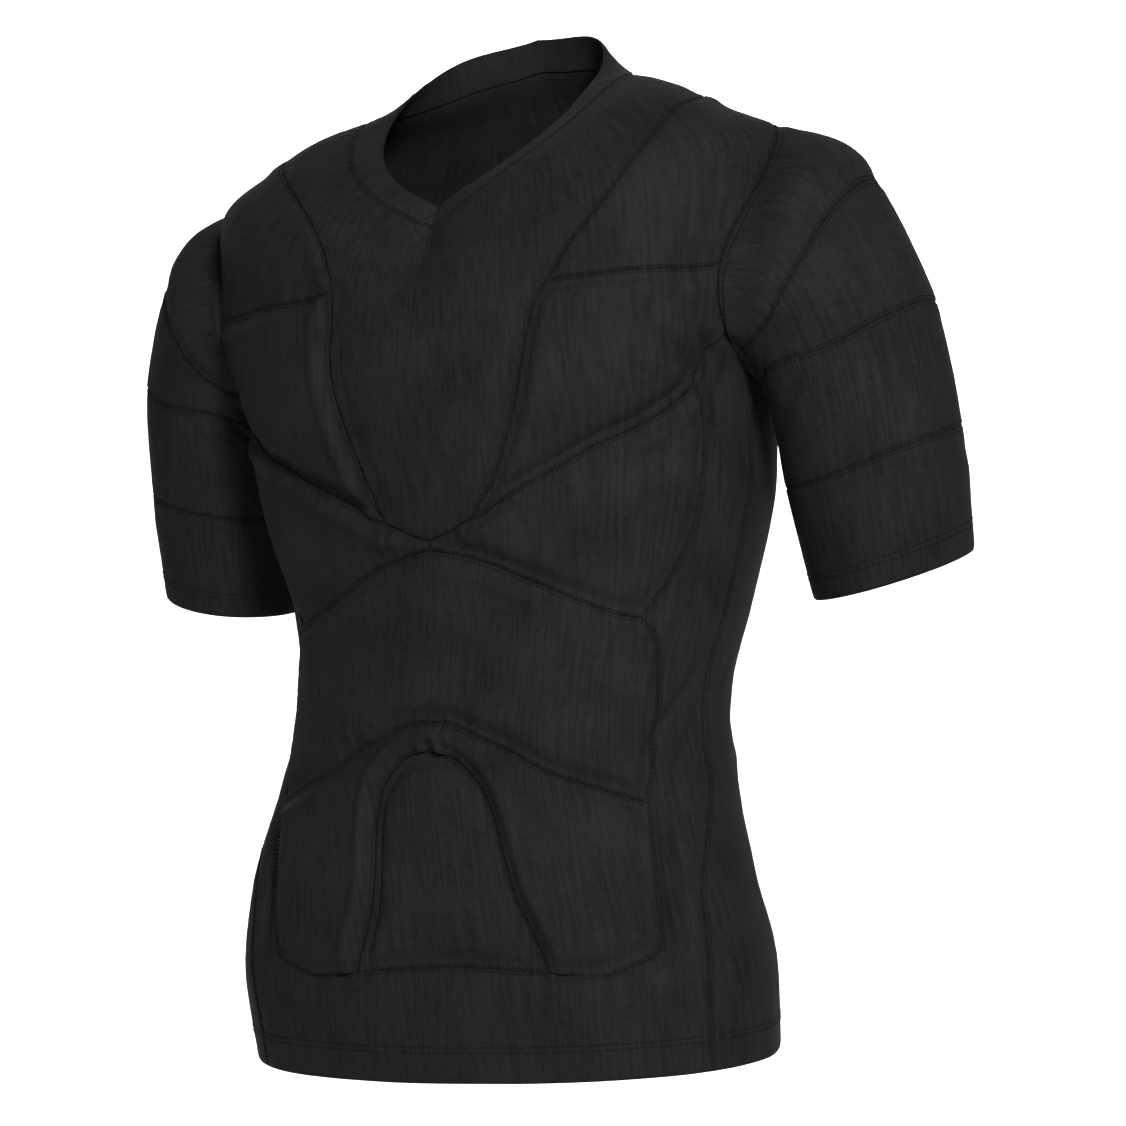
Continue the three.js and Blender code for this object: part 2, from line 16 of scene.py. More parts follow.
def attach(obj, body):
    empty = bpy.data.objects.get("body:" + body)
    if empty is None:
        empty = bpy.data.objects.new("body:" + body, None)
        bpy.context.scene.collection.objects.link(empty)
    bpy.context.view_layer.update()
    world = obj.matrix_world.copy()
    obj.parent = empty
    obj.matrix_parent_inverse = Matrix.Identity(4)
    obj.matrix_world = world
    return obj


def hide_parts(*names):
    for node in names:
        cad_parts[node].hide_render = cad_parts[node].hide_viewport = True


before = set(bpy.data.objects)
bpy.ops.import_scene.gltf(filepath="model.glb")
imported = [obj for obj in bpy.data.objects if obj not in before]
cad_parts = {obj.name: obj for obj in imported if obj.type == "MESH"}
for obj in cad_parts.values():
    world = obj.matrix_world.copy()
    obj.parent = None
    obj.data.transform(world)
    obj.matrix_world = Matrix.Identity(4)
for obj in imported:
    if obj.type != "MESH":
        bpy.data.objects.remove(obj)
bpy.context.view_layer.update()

# %% [markdown]
# ## The form under the cloth
# A shirt has no frame of its own, so its shape is that of the body it was fitted to. It could be
# sculpted, or simulated over a figure. A table of rings is used instead: each row is one level of
# the body, from hem to neck, and a smooth curve through the rows gives every place between them.
# A place on the cloth is then two numbers: turn, in degrees from centre front towards the wearer's
# left, and up, in millimetres along the side.

# %% Tables of the body, the arms and the neck
# up, front, side, back, half width, depth in front, depth behind, centre x, centre y, squareness, vee
rings = np.array([
    [0, -622, -622, -622, 178, 116, 128, -3, -8, 2.15, 0],
    [60, -562, -562, -562, 181, 116, 128, -5.5, -14, 2.15, 0],
    [120, -502, -502, -502, 171, 112, 112, -7, -14, 2.15, 0],
    [180, -442, -442, -442, 160, 110, 100, -3.5, -6, 2.15, 0],
    [240, -382, -382, -382, 153, 112, 94, -0.5, 5, 2.15, 0],
    [300, -322, -322, -322, 164, 115, 106, 0, 17, 2.15, 0],
    [360, -262, -262, -262, 178, 126, 120, 0, 19, 2.2, 0],
    [420, -210, -202, -202, 184, 134, 126, 0, 15, 2.25, 0],
    [470, -176, -152, -154, 190, 134, 126, 0, 10, 2.3, 0],
    [520, -148, -98, -104, 195, 131, 120, 0, 8, 2.3, 0.1],
    [565, -128, -40, -54, 200, 127, 110, 0, 6, 2.25, 0.3],
    [605, -113, -12, -16, 164, 120, 96, 0, 8, 2.15, 0.6],
    [650, -101, 8, 20, 129, 109, 80, 0, 10, 2.05, 0.9],
    [690, -92, 22, 43, 88, 98, 66, 0, 8, 2, 1],
])
# angle round the armhole, turn, up
armhole = np.array([
    [-45, 106, 548], [0, 97, 578], [45, 84, 543], [90, 74, 503], [135, 76, 466], [180, 86, 438],
    [225, 100, 455], [270, 108, 505], [315, 106, 548], [360, 97, 578], [405, 84, 543],
])
# place along the sleeve, centre x, y, z, lean outwards, lean back, half across, half deep
sleeve_rings = np.array([
    [0.22, 218, 18, -124, 68, 4, 79, 70],
    [0.45, 238, 26, -177, 40, 7, 66, 66],
    [0.7, 246, 39, -242, 20, 10, 60, 62],
    [1, 252, 50, -313, 12, 11, 54, 54],
])
# angle round the armhole, and how far the cloth is drawn out of the corner between arm and chest
armhole_rise = np.array([
    [0, 6], [30, 9], [60, 12], [90, 12], [120, 8], [150, 4], [180, 2], [210, 4], [240, 8], [270, 12],
    [300, 12], [330, 9], [360, 6],
])
# angle from the shoulder line, then where the cap, upper and lower seams lie along the sleeve
sleeve_seams = np.array([
    [0, 0.28, 0.48, 0.71], [45, 0.29, 0.47, 0.7], [90, 0.28, 0.43, 0.69], [117, 0.24, 0.36, 0.68],
    [135, 0.15, 0.3, 0.67], [153, 0, 0.24, 0.66], [166, 0, 0.2, 0.66], [180, 0, 0.18, 0.65],
])
# turn, up: where the shoulders end and the slope to the neck opening begins
neck_edge = np.array([
    [0, 690], [10, 684], [18, 662], [32, 640], [45, 630], [57, 632], [65, 642], [87, 667],
    [120, 678], [150, 685], [180, 690],
])
# turn, then the width of the neckband and the height of its rim
band_width = np.array([[0, 17], [12, 19], [30, 22], [60, 23], [180, 24]])
rim_height = np.array([[0, -64], [30, -41], [60, -12], [90, 22], [135, 56], [180, 66]])
# flat millimetres for a unit of each chart: a degree round the body and a millimetre up it, and so on
body_scale = (2.7, 1)
sleeve_scale, sleeve_length = 1.1, 260
band_scale, band_height = 1.45, 23
cap_end = 153  # the angle where a sleeve's cap runs out under the arm
camera_turn = math.radians(28)
print(len(rings), "body rings,", len(sleeve_rings), "sleeve rings")


# %% Smooth numbers along a table
def cubic(s, width, start, start_slope, end, end_slope):
    return (
        (2 * s**3 - 3 * s**2 + 1) * start
        + (s**3 - 2 * s**2 + s) * width * start_slope
        + (3 * s**2 - 2 * s**3) * end
        + (s**3 - s**2) * width * end_slope
    )


def along(table, x, first=1, last=None):
    """Cubic pieces through the rows, with the mean slope at each row."""
    keys, values = table[:, 0], table[:, first:last]
    slopes = np.gradient(values, keys, axis=0)
    i = np.clip(np.searchsorted(keys, x, side="right") - 1, 0, len(keys) - 2)
    width = (keys[i + 1] - keys[i])[..., None]
    s = (np.asarray(x, float)[..., None] - keys[i][..., None]) / width
    found = cubic(s, width, values[i], slopes[i], values[i + 1], slopes[i + 1])
    return found if found.shape[-1] > 1 else found[..., 0]


def ease(x):
    x = np.clip(x, 0, 1)
    return x * x * (3 - 2 * x)


def wrapped(turn):
    """Degrees from -180 to 180."""
    return (np.asarray(turn, float) + 540) % 360 - 180


def sin_cos(degrees):
    return np.sin(np.radians(degrees)), np.cos(np.radians(degrees))


# %% The body form as it is worn
def as_worn(p):
    """Shoulders, neck and hem lean a little, and the hips turn below the waist."""
    x, y, z = p[..., 0], p[..., 1], p[..., 2]
    chest = np.clip(1 + z / 380, 0, 1)
    hip = np.clip((-380 - z) / 242, 0, 1)
    slope = 0.03 * chest + 0.015 * ease((z + 40) / 60) + 0.012 * hip
    turn = np.radians(11) * ease((-390 - z) / 150)
    cos, sin = np.cos(turn), np.sin(turn)
    return np.stack([cos * x - sin * y, sin * x + cos * y, z + slope * x], -1)


def body_form(turn, up):
    row = along(rings, up)
    front, side, back, half, ahead, behind, cx, cy, square, vee = np.moveaxis(row, -1, 0)
    sin, cos = sin_cos(turn)
    depth = np.where(cos > 0, ahead, behind)
    reach = ((np.abs(sin) / half) ** square + (np.abs(cos) / depth) ** square) ** (-1 / square)
    vee = np.clip(vee, 0, 1)
    soft = 0.2 * (1 - vee) + 0.02
    fall = (np.hypot(sin, soft) - soft) / (np.hypot(1, soft) - soft)
    share = np.where(cos > 0, (1 - vee) * cos**2 + vee * (1 - fall), cos**2)
    z = side + (np.where(cos > 0, front, back) - side) * share
    return np.stack([cx + reach * sin, cy - reach * cos, z], -1)


def normal_of(point, u, v, du, dv):
    across = point(u + du, v) - point(u - du, v)
    upwards = point(u, v + dv) - point(u, v - dv)
    normal = np.cross(across, upwards)
    return normal / np.linalg.norm(normal, axis=-1, keepdims=True)


def neck_slope(turn):
    """The way from the neck's edge to the rim as a direction, and its length."""
    t = np.abs(wrapped(turn))
    sin, cos = sin_cos(turn)
    rim = np.stack([76 * sin, 8 - np.where(cos > 0, 84, 62) * cos, along(rim_height, t)], -1)
    way = rim - body_form(turn, along(neck_edge, t))
    length = np.linalg.norm(way, axis=-1)
    return way / length[..., None], length


def body_bare(turn, up):
    """The body's surface: at the neck's edge it bends softly and runs on to the rim."""
    over = up - along(neck_edge, np.abs(wrapped(turn)))
    past = (over + np.hypot(over, 8)) / 2
    return as_worn(body_form(turn, up - past) + neck_slope(turn)[0] * past[..., None])


def body_normal(turn, up):
    return normal_of(body_bare, turn, up, 0.5, 0.5)


half_turn = np.arange(0.0, 181, 3)
neck_seam = np.column_stack([half_turn, along(neck_edge, half_turn) + np.maximum(
    neck_slope(half_turn)[1] - along(band_width, half_turn), 0)])
print("chest round", round(float(np.linalg.norm(np.diff(
    body_bare(np.arange(0.0, 361), np.full(361, 430.0)), axis=0), axis=1).sum())), "mm")


# %% The sleeve form and the neckband form
def arm_ring(row, angle):
    _, x, y, z, out, back, across, deep = row
    out, back, angle = np.radians(out), np.radians(back), np.radians(angle)
    axis = np.array([np.sin(out), np.tan(back) * np.cos(out), -np.cos(out)])
    axis /= np.linalg.norm(axis)
    front = np.array([0.0, -1, 0])
    front -= axis * front.dot(axis)
    front /= np.linalg.norm(front)
    outer = np.cross(front, axis)
    return (np.array([x, y, z]) + across * np.cos(angle)[..., None] * outer
            + deep * np.sin(angle)[..., None] * front)


def sleeve_form(angle, place):
    hole = along(armhole, np.asarray(angle, float) % 360)
    starts = [body_form(hole[..., 0], hole[..., 1])]
    points = np.stack(starts + [arm_ring(row, angle) for row in sleeve_rings])
    places = np.concatenate([[0.0], sleeve_rings[:, 0]])
    slopes = np.gradient(points, places, axis=0)
    i = np.clip(np.searchsorted(places, place, side="right") - 1, 0, len(places) - 2)
    width = (places[i + 1] - places[i])[..., None]
    s = (place[..., None] - places[i][..., None]) / width

    def pick(values, k):
        return np.take_along_axis(values, k[None, ..., None], axis=0)[0]

    return cubic(s, width, pick(points, i), pick(slopes, i), pick(points, i + 1), pick(slopes, i + 1))


def band_bare(turn, place):
    t = np.abs(wrapped(turn))
    foot, rim = along(neck_seam, t), along(neck_edge, t) + neck_slope(turn)[1]
    return body_bare(turn, foot + (rim - foot) * place)


# %% [markdown]
# ## Folds
# Knit that is stretched over a body has few folds: short soft troughs where the cloth has slack,
# at the waist, under the arms and where a pad ends. A cloth simulation makes them too, but not in
# the places that the real shirt shows. So each fold is a row of a table: where it is, how it
# tilts, how long and wide it is, and how far it moves the cloth. Both sides and the back get their
# own, none the same as another.

# %% The tables of folds
# turn, up, tilt, long, wide, rise
body_folds = np.array([
    [64, 118, 84, 52, 9, -3.5], [-64, 112, 96, 48, 9, -3],
    [76, 232, 52, 30, 8, -3], [80, 214, 58, 26, 7, -2.5],
    [-78, 226, 128, 30, 8, -3], [-83, 206, 122, 24, 7, -2.5],
    [118, 236, 20, 44, 9, -3], [140, 214, 8, 50, 9, 2.5], [-122, 240, 164, 42, 9, -3],
    [168, 228, 4, 46, 10, -2.5], [-150, 204, 170, 44, 9, 2.5],
])
# smaller ones that the solids leave out
body_creases = np.array([
    [64, 118, 84, 46, 4, -4.2], [59, 122, 84, 40, 4.5, 2.2], [-64, 112, 96, 34, 4, -2.6],
    [72, 232, 52, 34, 4.2, -4.0], [76, 212, 58, 28, 4, -3.4], [-77, 226, 128, 28, 4, -2.6],
    [69, 240, 56, 26, 4, 2.0], [68, 206, 62, 22, 4, 1.6],
    [72, 243, 55, 22, 4, 1.6], [84, 226, 60, 26, 4.5, 1.5], [88, 246, 48, 20, 4, -1.5],
    [69, 470, 122, 26, 4.6, -5.0], [64, 455, 130, 30, 4.4, -4.6], [60, 464, 120, 24, 4, 2.6],
    [58, 441, 138, 24, 3.8, -2.8], [72, 448, 100, 24, 4.4, -4.0], [76, 436, 80, 22, 4, -3.0],
    [-69, 468, 58, 24, 4.2, -3.0], [-65, 452, 50, 24, 3.8, -2.4], [-61, 460, 60, 20, 4, 1.4],
    [91, 446, 60, 20, 4.5, -1.6], [97, 440, 42, 26, 5, -1.4], [104, 444, 28, 24, 4.5, 1.2],
    [-92, 444, 120, 22, 4.5, -1.6], [-99, 438, 140, 26, 5, -1.3],
    [150, 300, 172, 60, 8, -1.3], [-158, 318, 10, 56, 8, -1.2], [175, 182, 178, 70, 8, -1.4],
    [130, 176, 14, 52, 7, -1.5], [-134, 184, 166, 50, 7, -1.5], [108, 204, 34, 34, 6, 1.4],
    [-108, 208, 148, 32, 6, 1.4], [152, 560, 68, 50, 9, -1.2], [-150, 556, 110, 52, 9, -1.1],
    [180, 640, 2, 44, 7, -0.9], [66, 96, 82, 34, 4, 1.3], [-66, 90, 98, 32, 4, 1.2],
    [20, 28, 86, 24, 9, 0.9], [-24, 24, 92, 22, 10, 0.8], [100, 32, 90, 28, 10, -1.0],
    [150, 30, 88, 30, 12, 1.0], [-140, 28, 92, 30, 12, -1.0], [-95, 30, 90, 26, 10, 0.9],
])
# angle, place in millimetres along the sleeve, tilt, long, wide, rise
sleeve_creases = np.array([
    [158, 8, 62, 30, 5, -2.2], [142, 14, 74, 32, 5, -2.0], [128, 16, 96, 30, 4.5, 1.4],
    [172, 20, 50, 28, 5, -2.0], [196, 16, 118, 30, 5, -2.0], [214, 14, 104, 34, 5, -1.8],
    [230, 22, 98, 30, 5, 1.2], [166, 62, 24, 26, 6, -1.8], [190, 70, 160, 30, 6, -1.6],
    [148, 84, 30, 26, 5, -1.5], [212, 96, 150, 26, 6, -1.4], [60, 70, 20, 30, 8, -0.9],
    [300, 84, 160, 34, 8, -1.0], [20, 132, 174, 34, 8, -1.0], [120, 120, 28, 30, 6, -1.3],
    [240, 130, 152, 32, 7, -1.2], [90, 196, 10, 34, 7, -1.0], [330, 200, 168, 34, 7, -0.9],
])
print(len(body_folds), "large folds,", len(body_creases) + len(sleeve_creases), "creases")


# %% How far the folds move the cloth
def fold_rise(table, turn, up, per_degree):
    rise = np.zeros(np.broadcast(turn, up).shape)
    for at, height, tilt, long, wide, most in table:
        x = wrapped(turn - at) * per_degree
        y = up - height
        cos, sin = math.cos(math.radians(tilt)), math.sin(math.radians(tilt))
        rise += most * np.exp(-((x * cos + y * sin) / long) ** 2 - ((y * cos - x * sin) / wide) ** 2)
    return rise


def unevenness(p, size, seed):
    """Soft irregular bumps from -1 to 1, the same in every run."""
    rng = np.random.default_rng(seed)
    total = np.zeros(len(p))
    for _ in range(14):
        way = rng.normal(size=3)
        way *= 2 * math.pi / (np.linalg.norm(way) * size * rng.uniform(0.7, 1.5))
        total += np.sin(p @ way + rng.uniform(0, 6.28))
    return total / 5


# %% [markdown]
# ## Surfaces to sew on
# Body, sleeves and neckband each get one small set of functions: the point at a place, the outward
# normal there, and the scale that makes a flat pattern of it in millimetres. All later steps
# (cutting, quilting, stitching) work on any of them without knowing which it is.

# %% One surface for each part of the shirt
class Surface:
    def __init__(self, bare, normal, scale, folds):
        self.bare, self.normal, self.scale, self.folds = bare, normal, np.array(scale), folds

    def flat(self, chart):
        return chart * self.scale

    def point(self, chart):
        u, v = chart[:, 0], chart[:, 1]
        moved = self.bare(u, v) + self.normal(u, v) * self.folds(u, v)[:, None]
        return moved + armhole_span(self, chart)


crease_fade = 14  # creases die away this near to an armhole


def body_fold_rise(turn, up):
    near = armhole_near(np.stack([turn, up], -1))[1]
    small = fold_rise(body_creases, turn, up, body_scale[0])
    return fold_rise(body_folds, turn, up, body_scale[0]) + small * ease(near / crease_fade)


def sleeve_surface(side):
    def bare(angle, place):
        form = sleeve_form(angle, place) * np.array([side, 1, 1])
        if side > 0:
            form[..., 0] += 4 * ease(place / 0.5)
        return as_worn(form)

    def normal(angle, place):
        return normal_of(bare, angle, np.clip(place, 0.01, 0.99), 1, 0.01) * side

    def folds(angle, place):
        rise = fold_rise(sleeve_creases, angle + 4 * (side < 0), place * sleeve_length, sleeve_scale)
        return rise * ease(place * sleeve_length / crease_fade)

    return Surface(bare, normal, (-side * sleeve_scale, -sleeve_length), folds)


def band_normal(turn, place):
    return normal_of(band_bare, turn, np.clip(place, 0.05, 0.95), 1, 0.05)


body = Surface(body_bare, body_normal, body_scale, body_fold_rise)
sleeves = {side: sleeve_surface(side) for side in (1, -1)}
band = Surface(band_bare, band_normal, (band_scale, band_height), lambda u, v: np.zeros(np.shape(u)))


# %% [markdown]
# ## Seams
# A pattern cutter draws each seam once and gives it to both panels that meet there. The same is
# done here: a seam is a smooth curve through a few places, and two panels that share it can't
# drift apart.

# %% The seams of the front on the wearer's left, and the ones that differ on the right
shoulder_top = [97, 578]
princess = {
    1: [[97, 628], [84, 614], [71, 603], [60, 581], [51, 557], [44, 541], [38.5, 524]],
    -1: [[97, 628], [82, 621], [60, 614], [42, 604], [32, 590], [27, 572], [24.5, 552]],
}
princess_low = {
    1: [[38.5, 524], [35, 505], [32.5, 474], [29.5, 435], [25.5, 402], [21.5, 377], [17, 362],
        [14, 353]],
    -1: [[24.5, 552], [24.5, 520], [25, 486], [23.5, 448], [21, 415], [18.5, 385], [16, 365],
         [14, 353]],
}
yoke_seam = {
    1: [[38.5, 524], [50, 516], [58, 511], [67, 505], [74, 503]],
    -1: [[24.5, 552], [31.5, 537], [45, 522], [59, 509], [74, 503]],
}
sternum = [[14, 353], [7, 346], [0, 341]]
under_chest = [[68, 432], [65, 423], [56.5, 408], [47, 397], [39, 385], [32, 376], [25, 367],
               [19, 358], [14, 353]]
under_arm = [[76, 466], [71, 450], [68, 432]]
rib_side = [[68, 432], [71, 410], [71, 384], [70, 350], [68, 328], [65, 309], [60, 288]]
rib_foot = [[0, 335], [16.5, 327], [31.5, 313.5], [44.5, 300], [54, 291], [60, 288]]
waist_side = [[60, 288], [64.5, 273], [67, 243], [65.5, 200], [63, 172]]
belly = [[0, 226], [8, 225], [18, 217], [28, 208], [38, 195], [50, 184], [63, 172]]
hip_side = [[63, 172], [61.5, 144], [60, 120], [58.5, 95], [56, 78], [45, 67]]
pad_foot = [[45, 67], [38, 68], [30.5, 70]]
arch_foot = [[30.5, 70], [15, 73], [0, 75]]
arch_side = [[30.5, 70], [27.5, 92], [24, 117], [22.5, 140], [21.5, 160], [18.5, 184], [10, 203],
             [0, 208.5]]
side_seam = [[86, 438], [85, 380], [84, 300], [82, 200], [80, 170], [74, 135], [70, 106], [67, 43],
             [67, 0]]


# %% Draw a seam at even steps
def smooth(rows, per=40):
    """The curve through the rows, thickly sampled in flat millimetres."""
    rows = np.array(rows, float) * body_scale
    before = np.vstack([rows[:1], rows[:-1]])
    after = np.vstack([rows[1:], rows[-1:]])
    out = []
    for a, b, c, d in zip(before[:-1], rows[:-1], rows[1:], after[1:]):
        t = np.linspace(0, 1, per, endpoint=False)[:, None]
        m, n = (c - a) / 2, (d - b) / 2
        out.append((2 * b - 2 * c + m + n) * t**3 + (-3 * b + 3 * c - 2 * m - n) * t**2 + m * t + b)
    return np.vstack(out + [rows[-1:]])


def evenly(line, step):
    """The same line with its points a step apart."""
    run = np.concatenate([[0], np.cumsum(np.linalg.norm(np.diff(line, axis=0), axis=1))])
    count = max(1, round(run[-1] / step))
    at = np.linspace(0, run[-1], count + 1)
    return np.stack([np.interp(at, run, line[:, k]) for k in range(line.shape[1])], -1)


def seam(rows, step=2.6):
    return evenly(smooth(rows), step) / body_scale


def joined(*parts):
    """Seams end to end, each shared end once, the last point left for the next seam."""
    return np.vstack([part[:-1] for part in parts])


def mirrored(line):
    return np.array(line) * (-1, 1)


def armhole_seam(start, end):
    angles = np.linspace(start, end, round(abs(end - start) / 2) + 1)
    return along(armhole, angles % 360)


def neck_line(start, end):
    turns = np.linspace(start, end, round(abs(end - start) / 1.5) + 1)
    return np.stack([turns, along(neck_seam, np.abs(wrapped(turns)))], -1)


neck_front, neck_back = neck_line(-97, 97), neck_line(97, 263)
shoulder_seam = seam([[97, 628], shoulder_top])
collar_seam = seam([[97, float(along(neck_seam, np.array(97.0)))], [97, 628]])
print("side seam", len(seam(side_seam)), "points")

# %% [markdown]
# ## Cutting a panel
# A panel is its outline filled with points and joined into triangles. A plain grid would leave
# steps along a slanting seam, and a subdivided CAD mesh would keep its long thin triangles. Here the
# outline itself is kept, an even lattice fills it, twice as close near the seams where the cloth
# dips and rises, and Blender's own constrained triangulation joins them.

# %% Distances on the flat pattern
def distance_to(points, line, closed=False):
    """How far each flat point is from a line of flat points."""
    ends = np.roll(line, -1, axis=0) if closed else line[1:]
    starts = line if closed else line[:-1]
    step = ends - starts
    length = np.maximum((step**2).sum(1), 1e-9)
    least = np.empty(len(points))
    for k in range(0, len(points), 4000):
        rest = points[k:k + 4000, None] - starts
        share = np.clip((rest * step).sum(-1) / length, 0, 1)
        gap = rest - share[..., None] * step
        least[k:k + 4000] = np.sqrt((gap**2).sum(-1)).min(1)
    return least


def within(points, ring):
    ends = np.roll(ring, -1, axis=0)
    rise = np.where(ends[:, 1] == ring[:, 1], 1e-9, ends[:, 1] - ring[:, 1])
    odd = np.zeros(len(points), bool)
    for k in range(0, len(points), 4000):
        x, y = points[k:k + 4000, 0, None], points[k:k + 4000, 1, None]
        spans = (ring[:, 1] > y) != (ends[:, 1] > y)
        left = x < (ends[:, 0] - ring[:, 0]) * (y - ring[:, 1]) / rise + ring[:, 0]
        odd[k:k + 4000] = (spans & left).sum(1) % 2 == 1
    return odd


# %% Fill an outline with triangles
def lattice(ring, step):
    low, high = ring.min(0), ring.max(0)
    rows = np.arange(low[1] + step / 3, high[1], step * 0.866)
    across = np.arange(low[0], high[0] + step, step)
    x = across[None] + (np.arange(len(rows)) % 2)[:, None] * step / 2
    y = np.broadcast_to(rows[:, None], x.shape)
    points = np.stack([x.ravel(), y.ravel()], -1)
    points = points[within(points, ring)]
    return points, distance_to(points, ring, closed=True)


def filled(ring, step):
    near, near_gap = lattice(ring, step * 0.5)
    wide, wide_gap = lattice(ring, step)
    inner = [near[(near_gap > 0.6) & (near_gap < 6)], wide[wide_gap >= 6]]
    points = [tuple(p) for p in np.vstack([ring] + inner)]
    count = len(ring)
    edges = [(i, (i + 1) % count) for i in range(count)]
    found = delaunay_2d_cdt(points, edges, [], 1, 1e-5)
    verts = np.array([tuple(p) for p in found[0]])
    faces = np.array([f for f in found[2]])
    return verts, faces


# %% A round piece, in rings
def round_piece(first, last, rows, columns):
    """Chart points and four-sided faces all the way round, closer together at both edges."""
    turns = np.linspace(-180, 180, columns, endpoint=False)
    share = np.linspace(0, 1, rows + 1)
    share = share - 0.11 * np.sin(2 * math.pi * share)
    start, end = first(turns), last(turns)
    chart = np.stack([np.tile(turns, rows + 1),
                      (start + (end - start) * share[:, None]).ravel()], -1)
    a = np.arange(rows)[:, None] * columns + np.arange(columns)
    b = np.arange(rows)[:, None] * columns + (np.arange(columns) + 1) % columns
    faces = np.stack([a, b, b + columns, a + columns], -1).reshape(-1, 4)
    return chart, faces


# %% [markdown]
# ## Shared directions at the seams
# Where a sleeve or the neckband joins the body, the cloth turns a corner. If each panel got its
# thickness straight outwards, the edges would cross. Both edges therefore use one direction, half way
# between the two surfaces, as a carpenter's mitre does.

# %% Directions at the armhole and the neck
def unit(v):
    return v / np.linalg.norm(v, axis=-1, keepdims=True)


def armhole_wall(angle, side):
    hole = along(armhole, angle % 360)
    return unit(body.normal(side * hole[:, 0], hole[:, 1])
                + sleeves[side].normal(angle, np.full(len(angle), 0.02)))


def neck_wall(turn):
    up = along(neck_seam, np.abs(wrapped(turn)))
    return unit(body.normal(turn, up) + band.normal(turn, np.full(len(turn), 0.1)))


def armhole_near(chart):
    """The nearest place of an armhole on the body's pattern: its angle, distance and side."""
    turn = wrapped(chart[:, 0])
    at = np.stack([np.abs(turn) * body_scale[0], chart[:, 1]], -1)
    dots = along(armhole, np.arange(0, 361, 1.0) % 360) * body_scale
    step = np.diff(dots, axis=0)
    angle, away = np.zeros(len(at)), np.full(len(at), 999.0)
    for k in np.flatnonzero((at[:, 0] > 120) & (at[:, 1] > 380)):
        rest = at[k] - dots[:-1]
        share = np.clip((rest * step).sum(1) / (step**2).sum(1), 0, 1)
        gap = np.linalg.norm(rest - share[:, None] * step, axis=1)
        i = gap.argmin()
        angle[k], away[k] = i + share[i], gap[i]
    return angle, away, np.where(turn < 0, -1, 1)


span_reach = 45  # the cloth is drawn out within this distance of the armhole


def armhole_span(surface, chart):
    """Draws the cloth out of the corner between arm and chest."""
    moved = np.zeros((len(chart), 3))
    if surface is band:
        return moved
    if surface is body:
        angle, away, sides = armhole_near(chart)
    else:
        angle, away = chart[:, 0], chart[:, 1] * sleeve_length
        sides = np.full(len(chart), 1 if surface is sleeves[1] else -1)
    rise = along(armhole_rise, angle % 360) * np.maximum(0, 1 - away / span_reach) ** 2
    for side in (1, -1):
        on = (sides == side) & (rise > 0)
        if on.any():
            moved[on] = armhole_wall(angle[on], side) * rise[on, None]
    return moved


def turned_walls(chart, walls):
    """Gives a body panel's edge points their shared directions."""
    angle, away, sides = armhole_near(chart)
    for side in (1, -1):
        on = (away < 0.1) & (sides == side)
        if on.any():
            walls[on] = armhole_wall(angle[on], side)
    turn = wrapped(chart[:, 0])
    on = np.abs(chart[:, 1] - along(neck_seam, np.abs(turn))) < 0.1
    if on.any():
        walls[on] = neck_wall(turn[on])
    return walls


# %% [markdown]
# ## Sewing a panel
# Every panel becomes a closed piece of cloth with an outer face, an inner face and cut edges. The
# outer face dips into its seams, and over a pad it rises in a rounded step: the foam is cut a little
# smaller than the cloth, so a flat edge shows first and then the pad. Ridges beside a seam are
# given, each as a line, its distance from the seam, its width and its height.

# %% The piece of cloth
class Panel:
    """One panel: knows how high its outer face stands at any place of its flat pattern."""

    def __init__(self, name, surface, ring=None, edges=None, pad=0, flange=4, step=9, ridges=()):
        self.name, self.surface, self.ring, self.edges = name, surface, ring, edges
        self.pad, self.flange, self.step, self.ridges = pad, flange, step, ridges

    def depth(self, chart):
        if self.ring is not None:
            return distance_to(self.surface.flat(chart), self.ring, closed=True)
        first, last = self.edges
        size = abs(self.surface.scale[1])
        return np.minimum(chart[:, 1] - first(chart[:, 0]), last(chart[:, 0]) - chart[:, 1]) * size

    def rise(self, chart, depth):
        flat = self.surface.flat(chart)
        up = self.pad * ease((depth - self.flange) / self.step)
        tops, troughs = np.zeros(len(flat)), np.zeros(len(flat))
        part = unevenness(np.column_stack([flat, flat[:, :1] * 0]), 60, 7)
        for rows, away, wide, high in self.ridges:
            line = smooth(rows) if self.surface is body else np.array(rows) * self.surface.scale
            bump = high * (1 + 0.35 * part) * np.exp(-((distance_to(flat, line) - away) / wide) ** 2)
            tops, troughs = np.maximum(tops, bump), np.minimum(troughs, bump)
        return up + tops + troughs

    def outer(self, chart):
        """Places on the outer face, its lift and its outward directions."""
        depth = self.depth(chart)
        skin = self.surface.point(chart)
        normals = self.surface.normal(chart[:, 0], chart[:, 1])
        lift = self.rise(chart, depth) + 0.45 * unevenness(skin, 55, 3) + 0.12 * unevenness(skin, 14, 5)
        pucker = 0.3 * unevenness(skin, 8, 11) * np.exp(-(depth / 7) ** 2)
        dip = 0.5 * np.exp(-(depth / 2.6) ** 2) + 0.35 * np.exp(-(depth / 0.9) ** 2)
        return skin, normals, lift + pucker - dip, depth


# %% Make the mesh of a panel
wall = 1.5
panels = {}


def add_object(name, mesh):
    made = bpy.data.objects.new(name, mesh)
    bpy.context.scene.collection.objects.link(made)
    return made


def open_edges(faces):
    """Directed edges that only one face uses."""
    count = faces.shape[1]
    pairs = np.vstack([faces[:, [i, (i + 1) % count]] for i in range(count)])
    used = {(a, b) for a, b in pairs.tolist()}
    return np.array([(a, b) for a, b in pairs.tolist() if (b, a) not in used])


